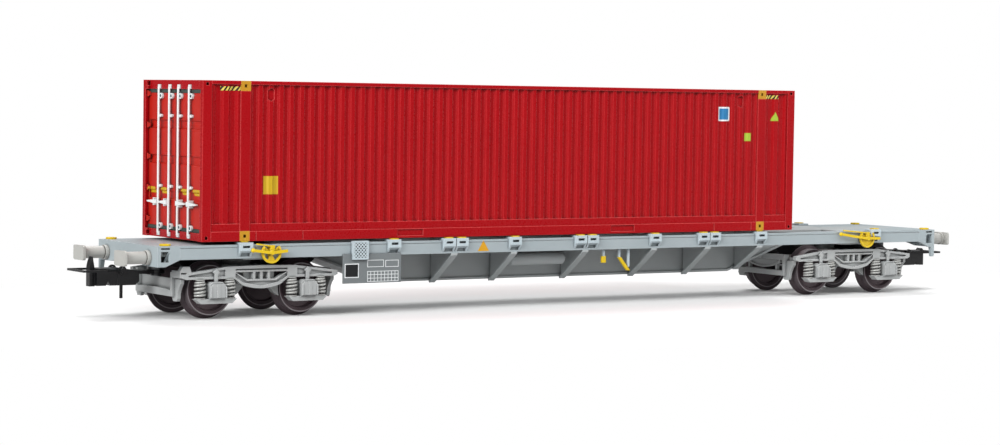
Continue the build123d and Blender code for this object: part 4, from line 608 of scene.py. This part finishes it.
def printFilm(name, node, outline, facing, finish, body):
    shape = bmesh.new()
    shape.from_mesh(nodes[node].data)
    facing = Vector(facing)
    turned = [face for face in shape.faces if face.normal.dot(facing) < film["facingShare"]]
    bmesh.ops.delete(shape, geom=turned, context="FACES")
    middle = sum((Vector(point) for point in outline), Vector()) / len(outline)
    for start, end in zip(outline, outline[1:] + outline[:1]):
        start, end = Vector(start), Vector(end)
        out = (end - start).cross(facing)
        if out.dot(middle - start) > 0:
            out = -out
        bmesh.ops.bisect_plane(shape, geom=shape.verts[:] + shape.edges[:] + shape.faces[:],
                               dist=film["cutDistance"], plane_co=start * mm, plane_no=out.normalized(),
                               clear_outer=True)
    bmesh.ops.remove_doubles(shape, verts=shape.verts[:], dist=film["joinDistance"])
    for face in shape.faces:
        face.smooth = False
    raised = bmesh.ops.extrude_face_region(shape, geom=shape.faces[:])
    bmesh.ops.translate(shape, vec=facing * film["thickness"] * mm,
                        verts=[item for item in raised["geom"] if isinstance(item, bmesh.types.BMVert)])
    return layPiece(name, shape, finish, body)


# pad-printed ink: flat colour with a fine dot grain, a little glossier than the plastic; its darker tone also
# serves as painted shade in corners, and it has no painted highlight
def printedInk(name, base, shade):
    return sprayedPlastic(name, base, shade, shade, base, highlightShare=0, patch=film["patch"],
                          grain=film["grain"], gloss=film["gloss"], edgeRadius=film["edgeRadius"])


# two inks in slanted bars, pitch millimetres apart
def barredInk(name, light, dark, pitch, slant):
    material, tree = blankMaterial(name)
    place = addNode(tree, "ShaderNodeTexCoord").outputs["Object"]
    parts = addNode(tree, "ShaderNodeSeparateXYZ", {}, {0: place})
    lean = addNode(tree, "ShaderNodeMath", {"operation": "MULTIPLY", 1: -slant / (pitch * mm)},
                   {0: parts.outputs["Z"]})
    run = addNode(tree, "ShaderNodeMath", {"operation": "MULTIPLY_ADD", 1: 1 / (pitch * mm)},
                  {0: parts.outputs["X"], 2: lean.outputs["Value"]})
    beat = addNode(tree, "ShaderNodeMath", {"operation": "FRACT"}, {0: run.outputs["Value"]})
    bar = addNode(tree, "ShaderNodeMath", {"operation": "GREATER_THAN", 1: 0.5}, {0: beat.outputs["Value"]})
    ink = addNode(tree, "ShaderNodeMix",
                  {"data_type": "RGBA", "A": hexToLinear(light), "B": hexToLinear(dark)},
                  {"Factor": bar.outputs["Value"]})
    look = {**plainLook, "grain": film["grain"], "edgeRadius": film["edgeRadius"]}
    finishSurface(tree, place, ink.outputs["Result"], look)
    return material


inks = {
    "barred": barredInk("padPrintYellowBlackBars", "#DCC85A", "#16140E", 0.95, 0.75),
    "yellow": printedInk("padPrintYellow", "#CDAA1A", "#C19C14"),
    "amber": printedInk("padPrintAmber", "#E0A51A", "#D49812"),
    "green": printedInk("padPrintYellowGreen", "#A9C43A", "#98B42E"),
    "white": printedInk("padPrintWhite", "#EEF1F2", "#E2E6E8"),
    "blue": printedInk("padPrintBlue", "#2A7FB4", "#2272A6"),
    # not a print: a dark teal of painted shade for the openings of the door bars' rings
    "teal": printedInk("ringHoleShadeTeal", "#12414C", "#0E3741"),
    # black ink for the data panel's square, also used as painted shade under the step plate's lattice
    "black": printedInk("padPrintBlackAndHoleShade", "#17181B", "#101113"),
}

# places on the near side: x and z of the corners, y of the surface's outermost face
containerFilms = {
    "y": -14.01,
    "patches": (
        ("edgeBarsLeft", "barred", (-92.6, 47.62), (-88.05, 48.5), "signal_yellow"),
        ("edgeBarsRight", "barred", (52.05, 47.62), (55.95, 48.5), "signal_yellow"),
        ("yellowPlate", "yellow", (-82.3, 26.1), (-78.95, 29.9), "signal_yellow"),
        ("whitePlate", "white", (38.1, 42.25), (41.5, 45.6), "bar_white"),
        ("greenPlate", "green", (46.1, 37.6), (47.95, 39.5), "signal_yellow"),
    ),
    "corner": 0.3,
    "blueInset": 0.38,
    "triangle": ((53.85, 42.4), (56.45, 42.4), (55.15, 44.6)),
}


def roundedBox(low, high, corner):
    (x0, z0), (x1, z1) = low, high
    c = corner
    k = c * (1 - math.sqrt(0.5))
    return [(x0 + c, z0), (x1 - c, z0), (x1 - k, z0 + k), (x1, z0 + c), (x1, z1 - c), (x1 - k, z1 - k),
            (x1 - c, z1), (x0 + c, z1), (x0 + k, z1 - k), (x0, z1 - c), (x0, z0 + c), (x0 + k, z0 + k)]


def printContainer():
    y = containerFilms["y"]
    side = "container_side_near"
    for name, ink, low, high, slot in containerFilms["patches"]:
        corner = containerFilms["corner"] if ink == "white" else 0
        square = [low, (high[0], low[1]), high, (low[0], high[1])]
        outline = roundedBox(low, high, corner) if corner else square
        printFilm(name, side, [(x, y, z) for x, z in outline], (0, -1, 0), inks[ink], "container")
        if ink == "white":
            inset = containerFilms["blueInset"]
            innerLow = (low[0] + inset, low[1] + inset)
            innerHigh = (high[0] - inset, high[1] - inset)
            inner = roundedBox(innerLow, innerHigh, corner / 2)
            blue = printFilm("bluePlate", side, [(x, y, z) for x, z in inner], (0, -1, 0), inks["blue"],
                             "container")
            blue.location.y = -film["thickness"] * mm
    printFilm("greenTriangle", side, [(x, y, z) for x, z in containerFilms["triangle"]], (0, -1, 0),
              inks["green"], "container")


printContainer()
print("container printed")


# door end: rubber gaskets in the beds of the leaves and between them, and yellow dashes

doorEnd = {
    "faceX": -95.98,
    "leafInner": 0.13,
    "leafOuter": 12.91,
    "bottomBed": (18.0, 18.85),
    "topBed": (46.94, 47.79),
    "bedDepth": 0.2,
    "bedClearance": 0.05,
    "gasketProud": 0.1,
    "gasketEdge": 0.06,
    "gapHalf": 0.12,
    "gapBack": 0.5,
    "gapFront": 0.05,
    "dashes": ((9.5, 12.4), (4.1, 7.0), (-5.5, -2.7), (-12.0, -8.1)),
    "dashZ": (25.65, 26.95),
    "dashCorner": 0.3,
    "barY": (7.1, 2.1, -2.1, -7.1),
    "ringZ": (18.88, 46.33),
    "ringX": -96.57,
    "ringOffset": 0.75,
    "ringHole": 0.33,
    "ringDepth": 0.3,
    "ringSides": 16,
}

# soft black-green rubber of the door seals: dull, slightly chalky, with painted shade in its corners and a
# painted highlight on its edges
gasketRubber = sprayedPlastic("extrudedRubberGasket", "#3F4A44", "#343E3A", "#1C2220", "#5A665F", gloss=0.6,
                              grain=0.25, edgeRadius=0.08)


def makeDoorEnd():
    d = doorEnd
    shape = bmesh.new()
    for bed in (d["bottomBed"], d["topBed"]):
        low, high = bed[0] + d["bedClearance"], bed[1] - d["bedClearance"]
        for way in (-1, 1):
            inner, outer = way * d["leafInner"], way * d["leafOuter"]
            band = [(inner, low), (outer, low), (outer, high), (inner, high)]
            addPrism(shape, band, d["faceX"] + d["bedDepth"], d["faceX"] - d["gasketProud"], "x")
    seam = [(-d["gapHalf"], d["bottomBed"][1]), (d["gapHalf"], d["bottomBed"][1]),
            (d["gapHalf"], d["topBed"][0]), (-d["gapHalf"], d["topBed"][0])]
    addPrism(shape, seam, d["faceX"] + d["gapBack"], d["faceX"] + d["gapFront"], "x")
    roundEdges(shape, d["gasketEdge"])
    layPiece("doorGaskets", shape, gasketRubber, "container")
    # painted shade: a dark teal disc fills the opening of each ring on the door bars
    discs = bmesh.new()
    for y in d["barY"]:
        for z in d["ringZ"]:
            disc = ringOutline((y - d["ringOffset"], z), d["ringHole"], d["ringSides"])
            addPrism(discs, disc, d["ringX"] + d["ringDepth"], d["ringX"], "x")
    layPiece("ringHoleShadeDiscs", discs, inks["teal"], "container")
    for number, (low, high) in enumerate(d["dashes"]):
        outline = roundedBox((low, d["dashZ"][0]), (high, d["dashZ"][1]), d["dashCorner"])
        leaf = "door_leaf_far" if low > 0 else "door_leaf_near"
        printFilm("doorDash_%d" % (number + 1), leaf, [(d["faceX"], y, z) for y, z in outline], (-1, 0, 0),
                  inks["yellow"], "container")


makeDoorEnd()
print("door end finished")


# data panel: a black square in a white frame, two blank boxes and a blank table

dataPanel = {
    "faceY": -14.5,
    "line": 0.2,
    "thinLine": 0.13,
    "square": ((-63.1, 8.1), (-59.6, 11.15)),
    "boxes": (((-57.5, 10.3), (-53.4, 11.85)), ((-53.0, 10.25), (-49.7, 11.75))),
    "table": ((-57.5, 7.15), (-49.7, 9.45)),
    "tableRows": 3,
    "tableColumns": 9,
    "inkRise": 0.03,
    # rows and columns lie a little lower than the frame, so that no two faces share a place
    "rowShare": 0.9,
    "columnShare": 0.8,
}


def addFrameLines(shape, low, high, line, face, rise):
    (x0, z0), (x1, z1) = low, high
    bars = (((x0, z0), (x1, z0 + line)), ((x0, z1 - line), (x1, z1)),
            ((x0, z0 + line), (x0 + line, z1 - line)), ((x1 - line, z0 + line), (x1, z1 - line)))
    for (a, b), (c, d) in bars:
        addPrism(shape, [(a, b), (c, b), (c, d), (a, d)], face, face - rise, "y")


def makeDataPanel():
    p = dataPanel
    face = p["faceY"]
    shape = bmesh.new()
    addFrameLines(shape, *p["square"], p["line"], face, p["inkRise"])
    for low, high in p["boxes"]:
        addFrameLines(shape, low, high, p["thinLine"], face, p["inkRise"])
    (x0, z0), (x1, z1) = p["table"]
    addFrameLines(shape, (x0, z0), (x1, z1), p["thinLine"], face, p["inkRise"])
    half = p["thinLine"] / 2
    for row in range(1, p["tableRows"]):
        z = z0 + (z1 - z0) * row / p["tableRows"]
        addPrism(shape, [(x0, z - half), (x1, z - half), (x1, z + half), (x0, z + half)], face,
                 face - p["inkRise"] * p["rowShare"], "y")
    for column in range(1, p["tableColumns"]):
        x = x0 + (x1 - x0) * column / p["tableColumns"]
        addPrism(shape, [(x - half, z0), (x + half, z0), (x + half, z1), (x - half, z1)], face,
                 face - p["inkRise"] * p["columnShare"], "y")
    layPiece("dataLines", shape, inks["white"], "wagon")
    black = bmesh.new()
    (x0, z0), (x1, z1) = p["square"]
    inset = p["line"]
    addPrism(black, [(x0 + inset, z0 + inset), (x1 - inset, z0 + inset), (x1 - inset, z1 - inset),
                     (x0 + inset, z1 - inset)], face, face - p["inkRise"], "y")
    layPiece("dataSquare", black, inks["black"], "wagon")


makeDataPanel()
print("data panel printed")


# step plate: a raised lattice of crossed bars in a border, over a black sheet of painted shade that stands
# for the dark openings of the grating

stepLattice = {
    "faceY": -14.9,
    "low": (-61.38, 12.0),
    "high": (-57.48, 16.0),
    "border": 0.42,
    "barHalf": 0.115,
    "pitch": 0.78,
    "barsEachWay": 6,
    "shortestBar": 0.1,
    "rise": 0.14,
    "fieldRise": 0.02,
    # slope of the bars and their share of the border's rise
    "slopes": ((-1, 0.85), (1, 0.9)),
}


def clipToBox(point, way, low, high):
    # the stretch of a slanted line that lies inside a box
    near, far = -math.inf, math.inf
    for axis in (0, 1):
        ends = sorted(((low[axis] - point[axis]) / way[axis], (high[axis] - point[axis]) / way[axis]))
        near, far = max(near, ends[0]), min(far, ends[1])
    return (near, far) if far - near > stepLattice["shortestBar"] else None


def makeStepLattice():
    s = stepLattice
    face = s["faceY"]
    low = [value + s["border"] for value in s["low"]]
    high = [value - s["border"] for value in s["high"]]
    # painted shade: a black sheet under the lattice, where the grating's openings would show dark
    shadeSheet = bmesh.new()
    addPrism(shadeSheet, [(low[0], low[1]), (high[0], low[1]), (high[0], high[1]), (low[0], high[1])], face,
             face - s["fieldRise"], "y")
    layPiece("stepPlateShadeSheet", shadeSheet, inks["black"], "wagon")
    shape = bmesh.new()
    addFrameLines(shape, s["low"], s["high"], s["border"], face, s["rise"])
    middle = [(a + b) / 2 for a, b in zip(low, high)]
    for slope, riseShare in s["slopes"]:
        way = (math.sqrt(0.5), slope * math.sqrt(0.5))
        for number in range(-s["barsEachWay"], s["barsEachWay"] + 1):
            point = (middle[0] + number * s["pitch"], middle[1])
            span = clipToBox(point, way, low, high)
            if span:
                start, end = ((point[0] + way[0] * t, point[1] + way[1] * t) for t in span)
                off = (-way[1] * s["barHalf"], way[0] * s["barHalf"])
                outline = [(start[0] - off[0], start[1] - off[1]), (end[0] - off[0], end[1] - off[1]),
                           (end[0] + off[0], end[1] + off[1]), (start[0] + off[0], start[1] + off[1])]
                addPrism(shape, outline, face, face - s["rise"] * riseShare, "y")
    layPiece("stepPlateLattice", shape, materials["bracket_grey"], "wagon")


makeStepLattice()
print("step plate set")


# the plain amber triangle on the near sill

sillTriangle = {"y": -14.2, "points": ((-29.15, 13.15), (-26.2, 13.15), (-27.68, 15.5))}
printFilm("sillTriangle", "side_sill_near", [(x, sillTriangle["y"], z) for x, z in sillTriangle["points"]],
          (0, -1, 0), inks["amber"], "wagon")
print("sill printed")


# plain pale studio: the floor takes the shadow and fades to white, and the camera sees white past it
studio = {
    "floorSize": 6.0,
    "floorColour": "#EFEFEF",
    "floorBounce": 0.55,
    "floorLift": 0.05,
    # half lengths of the ovals along x and y, in millimetres
    "fadeStart": (136, 58),
    "fadeEnd": (178, 104),
    "leastRoom": 0.0001,
    "worldStrength": 0.2,
    "lamps": (
        # name, azimuth, elevation, distance, size, watts
        ("keySoftbox", -67, 26, 1.4, 0.7, 16.8),
        ("frontSoftbox", -2, 50, 0.9, 0.45, 3.3),
        ("rightSoftbox", 60, 20, 0.6, 0.3, 0.9),
        ("backSoftbox", 160, 60, 0.9, 0.6, 6.2),
    ),
}


def setStudio():
    scene = bpy.context.scene
    scene.view_settings.view_transform = "Standard"
    world = bpy.data.worlds.new("studioWhite")
    world.use_nodes = True
    tree = world.node_tree
    tree.nodes.clear()
    path = addNode(tree, "ShaderNodeLightPath")
    seen = addNode(tree, "ShaderNodeMath", {"operation": "MAXIMUM"},
                   {0: path.outputs["Is Camera Ray"], 1: path.outputs["Is Transmission Ray"]})
    strength = addNode(tree, "ShaderNodeMapRange", {"To Min": studio["worldStrength"], "To Max": 1.0},
                       {"Value": seen.outputs["Value"]})
    glow = addNode(tree, "ShaderNodeBackground", {"Color": (1, 1, 1, 1)},
                   {"Strength": strength.outputs["Result"]})
    addNode(tree, "ShaderNodeOutputWorld", {}, {"Surface": glow.outputs["Background"]})
    scene.world = world

    for name, azimuth, elevation, distance, size, watts in studio["lamps"]:
        light = bpy.data.lights.new(name, "AREA")
        light.shape = "SQUARE"
        light.size = size
        light.energy = watts
        lamp = bpy.data.objects.new(name, light)
        turn, tilt = math.radians(azimuth), math.radians(elevation)
        away = Vector((math.sin(turn) * math.cos(tilt), -math.cos(turn) * math.cos(tilt), math.sin(tilt)))
        lamp.location = away * distance
        lamp.rotation_mode = "QUATERNION"
        lamp.rotation_quaternion = away.to_track_quat("Z", "Y")
        scene.collection.objects.link(lamp)

    mesh = bpy.data.meshes.new("studioFloor")
    half = studio["floorSize"] / 2
    corners = [(-half, -half, 0), (half, -half, 0), (half, half, 0), (-half, half, 0)]
    mesh.from_pydata(corners, [], [(0, 1, 2, 3)])
    floor = bpy.data.objects.new("studioFloor", mesh)
    scene.collection.objects.link(floor)
    material, tree = blankMaterial("paperSweepWhite")
    # an oval around the wagon, inside which the paper shows its shadow
    place = addNode(tree, "ShaderNodeTexCoord").outputs["Object"]
    oval = []
    for reach in (studio["fadeStart"], studio["fadeEnd"]):
        scaled = addNode(tree, "ShaderNodeVectorMath",
                         {"operation": "MULTIPLY", 1: (1 / (reach[0] * mm), 1 / (reach[1] * mm), 0)},
                         {0: place})
        oval.append(addNode(tree, "ShaderNodeVectorMath", {"operation": "LENGTH"},
                            {0: scaled.outputs["Vector"]}))
    past = addNode(tree, "ShaderNodeMath", {"operation": "SUBTRACT", 1: 1}, {0: oval[0].outputs["Value"]})
    left = addNode(tree, "ShaderNodeMath", {"operation": "SUBTRACT", 0: 1}, {1: oval[1].outputs["Value"]})
    inside = addNode(tree, "ShaderNodeMath", {"operation": "MAXIMUM", 1: 0}, {0: past.outputs["Value"]})
    # the least room keeps the share below from a division by nothing
    room = addNode(tree, "ShaderNodeMath", {"operation": "MAXIMUM", 1: studio["leastRoom"]},
                   {0: left.outputs["Value"]})
    whole = addNode(tree, "ShaderNodeMath", {"operation": "ADD"},
                    {0: inside.outputs["Value"], 1: room.outputs["Value"]})
    fade = addNode(tree, "ShaderNodeMath", {"operation": "DIVIDE"},
                   {0: inside.outputs["Value"], 1: whole.outputs["Value"]})
    soft = addNode(tree, "ShaderNodeMapRange", {"interpolation_type": "SMOOTHSTEP"},
                   {"Value": fade.outputs["Value"]})
    path = addNode(tree, "ShaderNodeLightPath")
    away = addNode(tree, "ShaderNodeMath", {"operation": "MULTIPLY"},
                   {0: path.outputs["Is Camera Ray"], 1: soft.outputs["Result"]})
    lift = addNode(tree, "ShaderNodeMath", {"operation": "MULTIPLY", 1: studio["floorLift"]},
                   {0: path.outputs["Is Camera Ray"]})
    # the lens sees white paper, and the object gets a softer bounce from it
    tone = addNode(tree, "ShaderNodeMix", {"data_type": "RGBA", "A": [studio["floorBounce"]] * 3 + [1],
                                           "B": hexToLinear(studio["floorColour"])},
                   {"Factor": path.outputs["Is Camera Ray"]})
    paper = addNode(tree, "ShaderNodeBsdfDiffuse", {}, {"Color": tone.outputs["Result"]})
    glow = addNode(tree, "ShaderNodeEmission", {"Color": (1, 1, 1, 1)}, {"Strength": lift.outputs["Value"]})
    both = addNode(tree, "ShaderNodeAddShader", {}, {0: paper.outputs["BSDF"], 1: glow.outputs["Emission"]})
    white = addNode(tree, "ShaderNodeEmission", {"Color": (1, 1, 1, 1), "Strength": 1.0})
    sweep = addNode(tree, "ShaderNodeMixShader", {},
                    {0: away.outputs["Value"], 1: both.outputs["Shader"], 2: white.outputs["Emission"]})
    # from below the paper is clear, so that the underside can be looked at
    face = addNode(tree, "ShaderNodeNewGeometry")
    clear = addNode(tree, "ShaderNodeBsdfTransparent")
    sheet = addNode(tree, "ShaderNodeMixShader", {},
                    {0: face.outputs["Backfacing"], 1: sweep.outputs["Shader"], 2: clear.outputs["BSDF"]})
    addNode(tree, "ShaderNodeOutputMaterial", {}, {"Surface": sheet.outputs["Shader"]})
    mesh.materials.append(material)


setStudio()
print("studio set")
